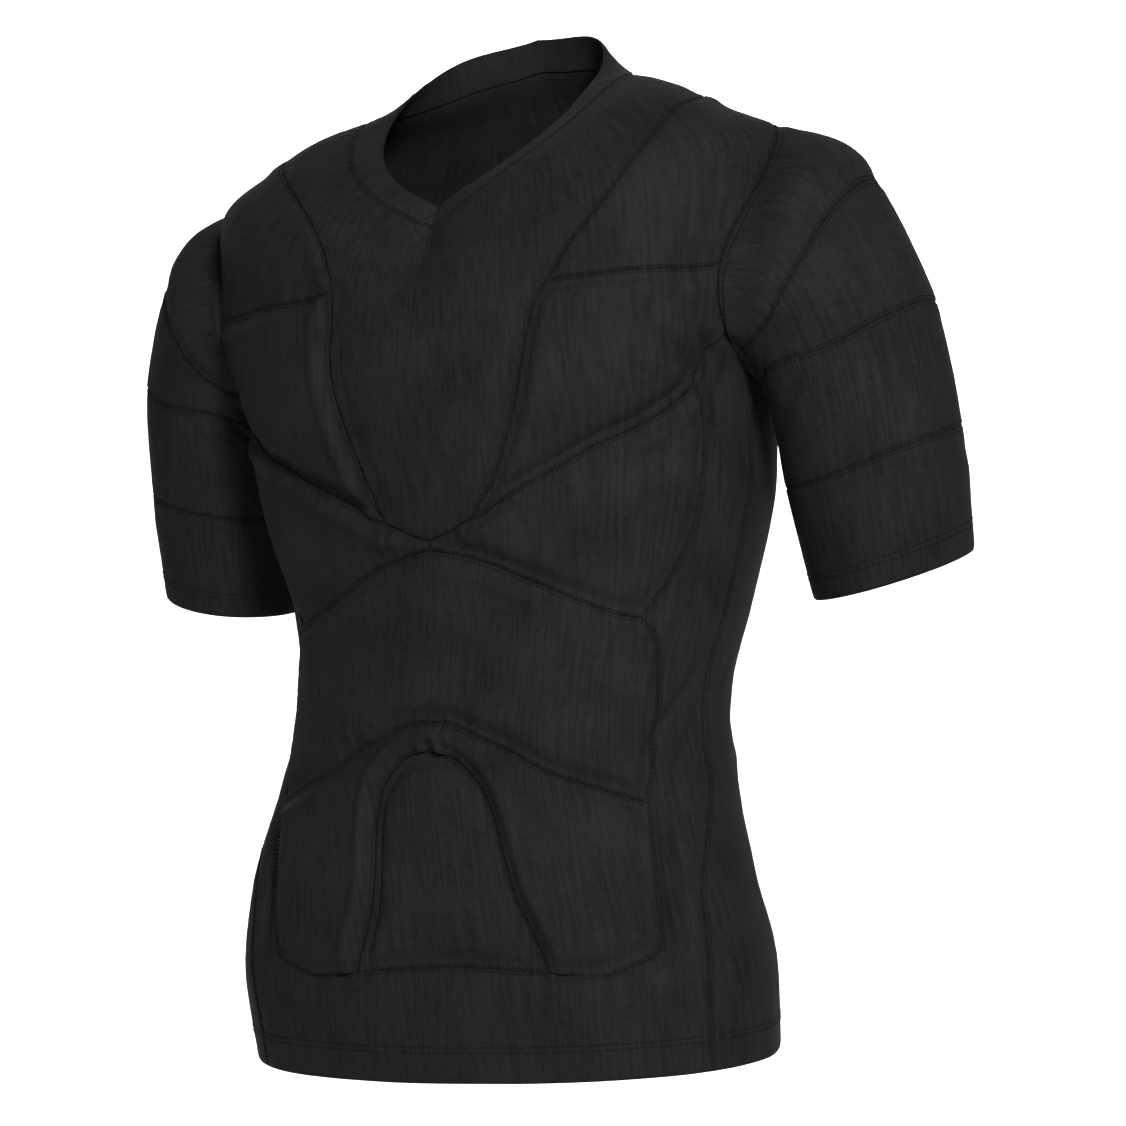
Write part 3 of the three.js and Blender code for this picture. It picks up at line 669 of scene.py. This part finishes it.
def make_cloth(panel, chart, faces, thick=wall, free_edge=None):
    skin, normals, lift, depth = panel.outer(chart)
    walls = normals.copy()
    if panel.surface is body:
        walls = turned_walls(chart, walls)
    elif panel.surface is band:
        on = chart[:, 1] < 1e-6
        walls[on] = neck_wall(chart[on, 0])
    else:
        side = 1 if panel.surface is sleeves[1] else -1
        on = chart[:, 1] < 1e-6
        walls[on] = armhole_wall(chart[on, 0], side)
    a, b, c = (skin[faces[:, k]] for k in range(3))
    if (np.cross(b - a, c - a) * normals[faces[:, 0]]).sum() < 0:
        faces = faces[:, ::-1]
    down = thick / np.maximum((walls * normals).sum(1), 0.6)
    plain = 0.45 * unevenness(skin, 55, 3)
    if free_edge is not None:
        gap = free_edge(chart)
        curl = np.sqrt(np.clip(1 - (1 - np.clip(gap / 1.4, 0, 1)) ** 2, 0, 1))
        lift, down = lift - thick * 0.4 * (1 - curl), down - thick * 0.4 * (1 - curl)
    outer = skin + walls * lift[:, None]
    inner = skin + walls * (plain - down)[:, None]
    rim = open_edges(faces)
    count = len(skin)
    sides = np.stack([rim[:, 1], rim[:, 0], rim[:, 0] + count, rim[:, 1] + count], -1)
    all_faces = faces.tolist() + (faces[:, ::-1] + count).tolist() + sides.tolist()
    mesh = bpy.data.meshes.new(panel.name)
    mesh.from_pydata((np.vstack([outer, inner]) / 1000).tolist(), [], all_faces)
    finish_mesh(mesh, panel.surface.flat(chart) / 1000, depth)
    panels[panel.name] = (panel, add_object("cloth_" + panel.name, mesh))
    print(panel.name, len(all_faces), "faces")


# %% The flat pattern as a UV map, in metres
def finish_mesh(mesh, flat, depth):
    flat = np.vstack([flat, flat])
    loops = np.empty(len(mesh.loops), int)
    mesh.loops.foreach_get("vertex_index", loops)
    place = flat[loops]
    starts = np.empty(len(mesh.polygons), int)
    mesh.polygons.foreach_get("loop_start", starts)
    first = np.repeat(place[starts, 0], np.diff(np.append(starts, len(loops))))
    span = (flat[:, 0].max() - flat[:, 0].min()) * 1.002
    place[:, 0] += np.where(place[:, 0] < first - span / 2, span, 0)
    place[:, 0] -= np.where(place[:, 0] > first + span / 2, span, 0)
    mesh.uv_layers.new(name="flat_pattern").uv.foreach_set("vector", place.astype(np.float32).ravel())
    # from_seam is each point's distance from its panel's edge in metres; the cloth materials darken the
    # colour near it as painted shade along the seams and edges
    far = mesh.attributes.new("from_seam", "FLOAT", "POINT")
    far.data.foreach_set("value", (np.concatenate([depth, depth]) / 1000).astype(np.float32))
    mesh.shade_smooth()


def body_panel(name, outline, step=3.2, **style):
    ring = outline * body_scale
    verts, faces = filled(ring, step)
    panel = Panel(name, body, ring=ring, **style)
    make_cloth(panel, verts / body_scale, faces, free_edge=lambda chart: chart[:, 1])


# %% [markdown]
# ## The front
# The front is ten panels: a plain centre, a yoke at each shoulder, chest and rib pads, one pad
# over the waist, one over the hips with an arch inside it, and the stretch cloth round them all.

# %% Chest centre, yokes, chest pads and rib pads
def handed(side, outline):
    return outline if side > 0 else mirrored(outline)


def chest_centre():
    left = joined(seam(princess[1]), seam(princess_low[1]), seam(sternum))
    right = joined(seam(princess[-1]), seam(princess_low[-1]), seam(sternum))
    down = joined(collar_seam)
    other = mirrored(np.vstack([down, right, seam(sternum)[-1:]]))[::-1]
    outline = np.vstack([neck_front[:-1], down, left, other[:-1]])
    ridges = [(princess_low[1], 8, 6, -1.4), (princess[1], 7, 6, -0.8),
              (mirrored(princess_low[-1]), 8, 6, -1.0)]
    body_panel("front_chest_centre", outline, ridges=ridges)


def yoke(side, name):
    outline = joined(seam(princess[side]), seam(yoke_seam[side]), armhole_seam(90, 0),
                     shoulder_seam[::-1])
    ridges = [(handed(side, princess[side]), 8, 6, 1.2), (handed(side, yoke_seam[side]), 7, 5, -0.9)]
    body_panel("front_yoke_" + name, handed(side, outline), ridges=ridges)


def chest_pad(side, name):
    outline = joined(seam(princess_low[side])[::-1], seam(yoke_seam[side]), armhole_seam(90, 135),
                     seam(under_arm), seam(under_chest))
    ridges = [(handed(side, princess_low[side]), 10, 6, 2.0), (handed(side, under_chest), 6, 6, -1.9),
              (handed(side, yoke_seam[side]), 9, 5, 0.9)]
    body_panel("chest_pad_" + name, handed(side, outline), pad=4, ridges=ridges)


def rib_pad(side, name):
    middle = np.array([[0, 341], [0, 335]])
    outline = joined(seam(under_chest), seam(sternum), middle, seam(rib_foot), seam(rib_side)[::-1])
    ridges = [(handed(side, under_chest), 9, 5, 2.8), (handed(side, rib_foot), 8, 6, -1.0)]
    body_panel("rib_pad_" + name, handed(side, outline), pad=4.2, ridges=ridges)


chest_centre()
for side, name in ((1, "left"), (-1, "right")):
    yoke(side, name)
    chest_pad(side, name)
    rib_pad(side, name)


# %% Waist pad, hip pad, arch pad and the cloth round them
def both_sides(half, middle):
    """A half outline and its mirror image, closed at the middle."""
    return np.vstack([half, middle, mirrored(half)[1:][::-1]])


def pair(rows, away, wide, left, right):
    """A ridge on both halves, each of its own height."""
    return [(rows, away, wide, left), (mirrored(rows), away, wide, right)]


def waist_pad():
    half = np.vstack([joined(seam(rib_foot), seam(waist_side)), seam(belly)[::-1][:-1]])
    ridges = [(waist_side, 10, 5, 1.2), *pair(rib_foot, 9, 5, 1.6, 1.3), *pair(belly, 6, 6, -1.4, -1.2)]
    body_panel("waist_pad", both_sides(half, [[0, 226]]), pad=4, ridges=ridges)


def hip_pad():
    half = joined(seam(belly), seam(hip_side), seam(pad_foot), seam(arch_side))
    ridges = [(arch_side, 9, 5, 2.2), (mirrored(arch_side), 11, 6, 3.6), *pair(belly, 8, 5, 1.4, 1.2),
              (hip_side, 9, 5, -1.8)]
    body_panel("hip_pad", both_sides(half, [[0, 208.5]]), pad=4.4, ridges=ridges)


def arch_pad():
    half = joined(seam(arch_side)[::-1], seam(arch_foot))
    ridges = [(mirrored(arch_side), 6, 6, -2.8), (arch_side, 5, 5, -1.4)]
    body_panel("arch_pad", both_sides(half, [[0, 75]]), pad=4.2, ridges=ridges)


def front_surround():
    inner = joined(*[seam(rows) for rows in (under_arm, rib_side, waist_side, hip_side, pad_foot,
                                             arch_foot)])
    edge = joined(armhole_seam(135, 180), seam(side_seam), seam([[67, 0], [0, 0]]))
    outline = np.vstack([inner[::-1], edge[1:] if np.allclose(edge[0], inner[0]) else edge, [[0, 0]],
                         mirrored(edge)[1:][::-1], mirrored(inner), [[0, 75]]])
    ridges = [*pair(hip_side, 7, 6, -2.2, -1.6), *pair(pad_foot, 8, 6, -1.2, -1.0),
              *pair(rib_side, 8, 6, -1.6, -1.3)]
    body_panel("front_surround", outline, ridges=ridges)


waist_pad()
hip_pad()
arch_pad()
front_surround()

# %% [markdown]
# ## The back
# The back shows nowhere in the photograph. Such shirts have one plain stretch panel there, so it is
# cut in one piece from side seam to side seam, up over the shoulders to the neck.

# %% The back panel
def back_panel():
    half = joined(seam(side_seam)[::-1], armhole_seam(180, 360), shoulder_seam[::-1],
                  collar_seam[::-1])
    other = half * (-1, 1) + (360, 0)
    hem = seam([[67, 0], [180, 0], [293, 0]])[1:]
    outline = np.vstack([half, neck_back[:-1], neck_back[-1:], other[1:][::-1], hem[::-1][:-1]])
    body_panel("back_panel", outline, step=3.9)


back_panel()

# %% [markdown]
# ## The sleeves
# Each sleeve is a cap pad over the shoulder and three rings of plain cloth below it.

# %% Sleeve caps and rings
def seam_place(column):
    return lambda angle: along(sleeve_seams, np.abs(wrapped(angle)), column, column + 1)


def cap_seam(angle):
    inside = np.abs(wrapped(angle)) < cap_end
    return np.where(inside, seam_place(1)(angle), 0.0)


def sleeve(side, name):
    surface = sleeves[side]
    angles = np.linspace(-cap_end, cap_end, 154)
    back = angles[1:-1][::-1]
    outline = np.vstack([np.stack([angles, angles * 0], -1), np.stack([back, cap_seam(back)], -1)])
    ring = outline * surface.scale
    verts, faces = filled(ring, 3.2)
    panel = Panel("sleeve_cap_" + name, surface, ring=ring, pad=2.5)
    chart = verts / surface.scale
    chart[:, 1] = np.where(np.abs(chart[:, 1]) < 1e-6, 0, chart[:, 1])
    make_cloth(panel, chart, faces)
    tubes = [("upper", cap_seam, seam_place(2), 20), ("middle", seam_place(2), seam_place(3), 24),
             ("lower", seam_place(3), lambda a: np.ones(np.shape(a)), 28)]
    for part, first, last, rows in tubes:
        chart, faces = round_piece(first, last, rows, 180)
        panel = Panel(f"sleeve_{part}_{name}", surface, edges=(first, last))
        edge = (lambda c: (1 - c[:, 1]) * sleeve_length) if part == "lower" else None
        make_cloth(panel, chart, faces, free_edge=edge)


for side, name in ((1, "left"), (-1, "right")):
    sleeve(side, name)

# %% [markdown]
# ## The neckband
# A band of thicker knit, folded double. At the point of the V its left half laps over its right.

# %% Neckband
# turn, place: the line of the lap, from the point of the V down to the band's seam
band_lap = [[1, 1], [-2, 0.6], [-9, 0]]


def neckband():
    zero, one = (lambda a: np.zeros(np.shape(a))), (lambda a: np.ones(np.shape(a)))
    chart, faces = round_piece(zero, one, 16, 360)
    panel = Panel("neckband", band, edges=(zero, one), ridges=[(band_lap, 0, 1.3, -0.7)])
    make_cloth(panel, chart, faces, thick=2.4, free_edge=lambda c: (1 - c[:, 1]) * band_height)


neckband()

# %% [markdown]
# ## Stitching
# Flat seams on such shirts are sewn over with a fine thread on both sides. Painted dashes would
# look flat in a close view, so each stitch is a short spindle of thread that dips into the cloth at
# both ends. It is modelled once, in a few faces, and copied along the seams.

# %% One stitch and a row of them
def spindle(start, end, up, thick=0.3):
    """Twelve points of one stitch, in millimetres."""
    along_it = end - start
    side = unit(np.cross(along_it, up))
    rings_of = []
    for share, lift in ((0.22, 0.16), (0.78, 0.16)):
        middle = start + along_it * share + up * lift
        for k in range(5):
            a = 2 * math.pi * k / 5
            rings_of.append(middle + thick * (math.cos(a) * side + math.sin(a) * up))
    return [start - up * 0.25, *rings_of, end - up * 0.25]


spindle_faces = ([(0, 1 + (k + 1) % 5, 1 + k) for k in range(5)]
                 + [(1 + k, 1 + (k + 1) % 5, 6 + (k + 1) % 5, 6 + k) for k in range(5)]
                 + [(6 + k, 6 + (k + 1) % 5, 11) for k in range(5)])


def row_of_stitches(panel, line, away=1.9, pitch=3.1, length=2.4):
    """Start, end and outward direction of each stitch beside a flat line."""
    panel = panels[panel][0]
    line = evenly(line, 1.0)
    way = unit(np.gradient(line, axis=0))
    aside = np.stack([-way[:, 1], way[:, 0]], -1) * away
    for sign in (1, -1):
        moved = line + aside * sign
        if panel.ring is None:
            first, last = panel.edges
            chart = moved / panel.surface.scale
            good = (chart[:, 1] > first(chart[:, 0])) & (chart[:, 1] < last(chart[:, 0]))
        else:
            good = within(moved, panel.ring)
            good[good] = distance_to(moved[good], panel.ring, closed=True) > away * 0.7
        if good.mean() > 0.5:
            break
    else:
        return []
    chart = moved[good] / panel.surface.scale
    skin, normals, lift, _ = panel.outer(chart)
    places = skin + normals * lift[:, None]
    run = np.concatenate([[0], np.cumsum(np.linalg.norm(np.diff(places, axis=0), axis=1))])
    starts = np.arange(1, run[-1] - length - 1, pitch)
    at = [np.stack([np.interp(s, run, v[:, k]) for k in range(3)], -1)
          for s, v in ((starts, places), (starts + length, places), (starts, normals))]
    keep = np.linalg.norm(at[1] - at[0], axis=1) < length * 1.2
    return [(a, b, n) for a, b, n, k in zip(*at, keep) if k]


def make_stitches(name, rows):
    verts, faces = [], []
    for start, end, up in [s for row in rows for s in row]:
        base = len(verts)
        verts += spindle(start, end, unit(up))
        faces += [tuple(base + i for i in f) for f in spindle_faces]
    mesh = bpy.data.meshes.new(name)
    mesh.from_pydata((np.array(verts) / 1000).tolist(), [], faces)
    mesh.shade_smooth()
    print(name, len(verts) // 12, "stitches")
    return add_object(name, mesh)


# %% Where the rows run on the body
def hem_rows(panel, first, last, count):
    """Two rows that hold the turned-in hem, from one turn to another."""
    line = np.stack([np.linspace(first, last, count), np.full(count, 20.0)], -1) * body_scale
    return [row_of_stitches(panel, line + (0, lift), away=0.01) for lift in (0, 3.5)]


def stitched_front():
    rows = []
    for side, name in ((1, "left"), (-1, "right")):
        for panel, seams in (
            ("front_yoke_" + name, (princess[side], yoke_seam[side])),
            ("chest_pad_" + name, (yoke_seam[side], princess_low[side], under_chest)),
            ("rib_pad_" + name, (under_chest, rib_side, rib_foot)),
            ("front_chest_centre", (princess[side], princess_low[side])),
            ("waist_pad", (rib_foot, waist_side, belly)),
            ("hip_pad", (belly, hip_side, arch_side)),
            ("arch_pad", (arch_side, arch_foot)),
            ("front_surround", (rib_side, waist_side, hip_side, side_seam, pad_foot, arch_foot)),
        ):
            for line in seams:
                rows.append(row_of_stitches(panel, handed(side, seam(line)) * body_scale))
    return make_stitches("stitching_front", rows + hem_rows("front_surround", -66, 66, 90))


def stitched_back():
    rows = [row_of_stitches("back_panel", seam(side_seam) * body_scale),
            row_of_stitches("back_panel", (mirrored(seam(side_seam)) + (360, 0)) * body_scale)]
    return make_stitches("stitching_back", rows + hem_rows("back_panel", 68, 292, 160))


# %% Where the rows run on the sleeves
def stitched_sleeve(side, name):
    surface = sleeves[side]
    angles = np.linspace(-179, 179, 240)
    rows = []

    def line(place, span=angles):
        return np.stack([span, place(span) if callable(place) else span * 0 + place], -1) * surface.scale

    for panel, place in (("upper", seam_place(2)), ("middle", seam_place(2)),
                         ("middle", seam_place(3)), ("lower", seam_place(3))):
        rows.append(row_of_stitches(f"sleeve_{panel}_{name}", line(place)))
    cap = angles[np.abs(angles) < 146]
    rows.append(row_of_stitches("sleeve_cap_" + name, line(seam_place(1), cap)))
    rows.append(row_of_stitches("sleeve_upper_" + name, line(seam_place(1), cap)))
    rows.append(row_of_stitches("sleeve_cap_" + name, line(0.0, cap)))
    for place in (0.925, 0.94):
        rows.append(row_of_stitches("sleeve_lower_" + name, line(place), away=0.01))
    return make_stitches("stitching_sleeve_" + name, rows)


def stitched_band():
    turns = np.linspace(-179, 179, 360)
    foot = np.stack([turns, np.full(360, 0.09)], -1)
    lap = np.array(band_lap) + (2, 0)
    return make_stitches("stitching_neckband", [
        row_of_stitches("neckband", line * band.scale, away=0.01) for line in (foot, lap)])


threads = [stitched_front(), stitched_back(), stitched_sleeve(1, "left"),
           stitched_sleeve(-1, "right"), stitched_band()]

# %% [markdown]
# ## Cloth and thread as materials
# The knit is matt black with a slight sheen. Three things keep it from looking like rubber: the
# columns of loops, which run up the body; a faint streakiness from uneven stretch; and soft
# mottling. The loops come from the flat pattern, so that they follow each panel, and the mottling
# from Object coordinates, so that it runs on across the seams. Two marks are painted light: the
# colour is darkened a little along every seam and edge as painted shade in the groove, and the
# padded knit is painted a little lighter than the plain knit as painted sheen on the pads.

# %% Node groups that all the cloth shares
def new_group(name, inputs, outputs):
    group = bpy.data.node_groups.new(name, "ShaderNodeTree")
    for side, sockets in (("INPUT", inputs), ("OUTPUT", outputs)):
        for label, kind in sockets:
            group.interface.new_socket(label, in_out=side, socket_type="NodeSocket" + kind)
    return group, group.nodes.new("NodeGroupInput"), group.nodes.new("NodeGroupOutput")


def math_node(tree, how, a, b=None):
    node = tree.nodes.new("ShaderNodeMath")
    node.operation = how
    for socket, value in zip(node.inputs, (a, b)):
        if isinstance(value, (int, float)):
            socket.default_value = value
        elif value is not None:
            tree.links.new(value, socket)
    return node.outputs[0]


def noise_node(tree, vector, stretch, scale, detail=2.0):
    fit = tree.nodes.new("ShaderNodeMapping")
    fit.inputs["Scale"].default_value = stretch
    tree.links.new(vector, fit.inputs["Vector"])
    noise = tree.nodes.new("ShaderNodeTexNoise")
    noise.inputs["Scale"].default_value = scale
    noise.inputs["Detail"].default_value = detail
    tree.links.new(fit.outputs[0], noise.inputs["Vector"])
    return noise.outputs[0]


def knit_loops():
    """Height of the loops from a flat pattern in metres, 1.3 mm columns and 1 mm rows."""
    group, inside, out = new_group("knit loops", [("Flat", "Vector")],
                                   [("Height", "Float"), ("Streak", "Float")])
    parts = group.nodes.new("ShaderNodeSeparateXYZ")
    group.links.new(inside.outputs["Flat"], parts.inputs[0])
    column = math_node(group, "MULTIPLY", parts.outputs[0], 2 * math.pi / 0.0013)
    row = math_node(group, "MULTIPLY", parts.outputs[1], 2 * math.pi / 0.001)
    rib = math_node(group, "ABSOLUTE", math_node(group, "SINE", math_node(group, "MULTIPLY", column, 0.5)))
    slant = math_node(group, "ADD", row, math_node(group, "MULTIPLY", rib, 1.6))
    loop = math_node(group, "SINE", slant)
    height = math_node(group, "ADD", rib, math_node(group, "MULTIPLY", loop, 0.22))
    group.links.new(height, out.inputs["Height"])
    group.links.new(noise_node(group, inside.outputs["Flat"], (1, 0.06, 1), 420, 3),
                    out.inputs["Streak"])
    return group


def mottling():
    group, inside, out = new_group("soft mottling", [("Place", "Vector")], [("Tone", "Float")])
    big = noise_node(group, inside.outputs["Place"], (1, 1, 1), 22, 3)
    small = noise_node(group, inside.outputs["Place"], (1, 1, 1), 260, 2)
    both = math_node(group, "ADD", math_node(group, "MULTIPLY", big, 0.6),
                     math_node(group, "MULTIPLY", small, 0.4))
    group.links.new(both, out.inputs["Tone"])
    return group


loops_group, mottling_group = knit_loops(), mottling()
print("groups", [g.name for g in bpy.data.node_groups])


# %% The materials
def ramp(tree, value, low, high):
    node = tree.nodes.new("ShaderNodeValToRGB")
    node.color_ramp.elements[0].position, node.color_ramp.elements[0].color = 0.25, (*low, 1)
    node.color_ramp.elements[1].position, node.color_ramp.elements[1].color = 0.75, (*high, 1)
    tree.links.new(value, node.inputs[0])
    return node.outputs[0]


def mottled_material(name, scale, detail, low, high, roughness):
    """A plain matt material whose colour varies a little, for the thread and the paper."""
    made = bpy.data.materials.new(name)
    made.use_nodes = True
    tree = made.node_tree
    shader = tree.nodes["Principled BSDF"]
    where = tree.nodes.new("ShaderNodeTexCoord").outputs["Object"]
    grain = noise_node(tree, where, (1, 1, 1), scale, detail)
    tree.links.new(ramp(tree, grain, low, high), shader.inputs["Base Color"])
    shader.inputs["Roughness"].default_value = roughness
    return made


def cloth_material(name, low, high, sheen, roughness, relief, loops=1.0):
    made = bpy.data.materials.new(name)
    made.use_nodes = True
    tree = made.node_tree
    shader = tree.nodes["Principled BSDF"]
    where = tree.nodes.new("ShaderNodeTexCoord")
    pattern = tree.nodes.new("ShaderNodeGroup")
    pattern.node_tree = loops_group
    fit = tree.nodes.new("ShaderNodeMapping")
    fit.inputs["Scale"].default_value = (loops, loops, 1)
    tree.links.new(where.outputs["UV"], fit.inputs["Vector"])
    tree.links.new(fit.outputs[0], pattern.inputs["Flat"])
    spots = tree.nodes.new("ShaderNodeGroup")
    spots.node_tree = mottling_group
    tree.links.new(where.outputs["Object"], spots.inputs["Place"])
    near = tree.nodes.new("ShaderNodeAttribute")
    near.attribute_name = "from_seam"
    # Painted shade: flange runs from 0 at a seam or edge to 1 at 2.5 mm from it, and the base colour is
    # darkened by up to a fifth where it is low, standing in for shade in the seam's groove
    flange = math_node(tree, "MINIMUM", math_node(tree, "MULTIPLY", near.outputs["Fac"], 400), 1)
    tone = math_node(tree, "ADD", math_node(tree, "MULTIPLY", pattern.outputs["Streak"], 0.45),
                     math_node(tree, "MULTIPLY", spots.outputs["Tone"], 0.55))
    tone = math_node(tree, "MULTIPLY", tone, math_node(tree, "ADD", math_node(
        tree, "MULTIPLY", flange, 0.2), 0.8))
    tree.links.new(ramp(tree, tone, low, high), shader.inputs["Base Color"])
    bump = tree.nodes.new("ShaderNodeBump")
    bump.inputs["Strength"].default_value = 0.5
    bump.inputs["Distance"].default_value = relief
    tree.links.new(pattern.outputs["Height"], bump.inputs["Height"])
    tree.links.new(bump.outputs["Normal"], shader.inputs["Normal"])
    shader.inputs["Roughness"].default_value = roughness
    shader.inputs["Specular IOR Level"].default_value = 0.02
    shader.inputs["Sheen Weight"].default_value = sheen
    shader.inputs["Sheen Roughness"].default_value = 0.45
    return made


knit = cloth_material("black knit", (0.003, 0.003, 0.003), (0.0125, 0.0125, 0.0126), 0.004, 0.75, 0.0002)
# Painted sheen: the padded knit is the same cloth as the plain knit, made a few percent lighter to stand
# in for the sheen on the pads
pad_knit_painted_sheen = cloth_material("padded knit with painted sheen", (0.0032, 0.0032, 0.0032), (0.013, 0.013, 0.0131), 0.004, 0.75,
                          0.0002)
rib_knit = cloth_material("neckband knit", (0.004, 0.004, 0.0046), (0.013, 0.0128, 0.0142), 0.004, 0.7,
                          0.00022, 0.8)
thread = mottled_material("sewing thread", 900, 1, (0.0015, 0.0015, 0.0016), (0.004, 0.004, 0.0042), 0.8)
thread.node_tree.nodes["Principled BSDF"].inputs["Specular IOR Level"].default_value = 0.05

# %% [markdown]
# ## Each piece in place of its CAD node
# Every panel stands for the CAD node of its name, which is hidden, and rides on the root body with
# the stitching. Padded panels get the padded knit with its painted sheen, the neckband its own knit
# and the others the plain knit. Padded panels are declared as padded pieces, and the others as
# sheets with the size that they are cut to: the knit is stretched about a twelfth when the shirt is
# filled out, so a cut is narrower than what shows.

# %% Ride, replace and finish
for name, (panel, piece) in panels.items():
    padded = panel.pad > 0
    slot = "band" if name == "neckband" else "pad" if padded else "knit"
    piece.data.materials.append({"band": rib_knit, "pad": pad_knit_painted_sheen, "knit": knit}[slot])
    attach(piece, "root")
    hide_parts(name)
for piece in threads:
    piece.data.materials.append(thread)
    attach(piece, "root")

# %% [markdown]
# ## Studio
# The photograph is a plain cut-out in soft light, so the set is one pale sweep of paper, floor and
# wall in one, with broad lamps. The camera stands level, 28 degrees to the wearer's left.

# %% The paper sweep
def paper_sweep():
    profile = [(-3.0, 0)] + [(2.2 + 0.9 * math.sin(a), 0.9 - 0.9 * math.cos(a))
                             for a in np.linspace(0, math.pi / 2, 14)] + [(3.1, 4.0)]
    cos, sin = math.cos(camera_turn), math.sin(camera_turn)
    verts, faces = [], []
    for side in (-5, 5):
        for away, high in profile:
            verts.append((side * cos - away * sin, side * sin + away * cos, high - 0.95))
    count = len(profile)
    for k in range(count - 1):
        faces.append((k, count + k, count + k + 1, k + 1))
    mesh = bpy.data.meshes.new("paper sweep")
    mesh.from_pydata(verts, [], faces)
    mesh.shade_smooth()
    mesh.materials.append(mottled_material("paper", 300, 2, (0.86,) * 3, (0.9,) * 3, 0.95))
    add_object("paper_sweep", mesh)


paper_sweep()


# %% Lights and camera
def lamp(name, place, target, size, power):
    light = bpy.data.lights.new(name, "AREA")
    light.shape, light.size, light.energy = "DISK", size, power
    holder = add_object(name, light)
    way = np.array(target) - np.array(place)
    holder.location = place
    holder.rotation_euler = (math.atan2(math.hypot(way[0], way[1]), -way[2]), 0,
                             math.atan2(-way[0], way[1]))


def from_camera(right, high, ahead):
    """A place given from the camera's side: to its right, up, and towards it."""
    cos, sin = math.cos(camera_turn), math.sin(camera_turn)
    return (right * cos + ahead * sin, right * sin - ahead * cos, high)


middle = (0, 0, -0.3)
lamp("key lamp", from_camera(0.55, 0.75, 2.2), middle, 0.5, 112)
lamp("fill lamp", from_camera(-0.8, 0.2, 2.4), middle, 1.4, 5)
lamp("paper lamp", from_camera(0, 1.5, -1.2), from_camera(0, 0.3, -2.8), 2.2, 120)

bpy.context.scene.view_settings.view_transform = "Standard"
world = bpy.data.worlds.new("studio air")
bpy.context.scene.world = world
world.use_nodes = True
world.node_tree.nodes["Background"].inputs["Color"].default_value = (0.95, 0.97, 1, 1)
world.node_tree.nodes["Background"].inputs["Strength"].default_value = 0.33

camera_data = bpy.data.cameras.new("camera")
camera_data.lens, camera_data.sensor_width, camera_data.sensor_fit = 85.75, 36, "HORIZONTAL"
camera = add_object("camera", camera_data)
camera.location = from_camera(0.037, -0.2973, 1.8)
camera.rotation_mode = "XYZ"
camera.rotation_euler = (math.radians(90), 0, camera_turn)
camera.rotation_euler = (camera.rotation_euler.to_matrix() @ Matrix.Rotation(
    math.radians(-2), 3, "Z")).to_euler()
bpy.context.scene.camera = camera
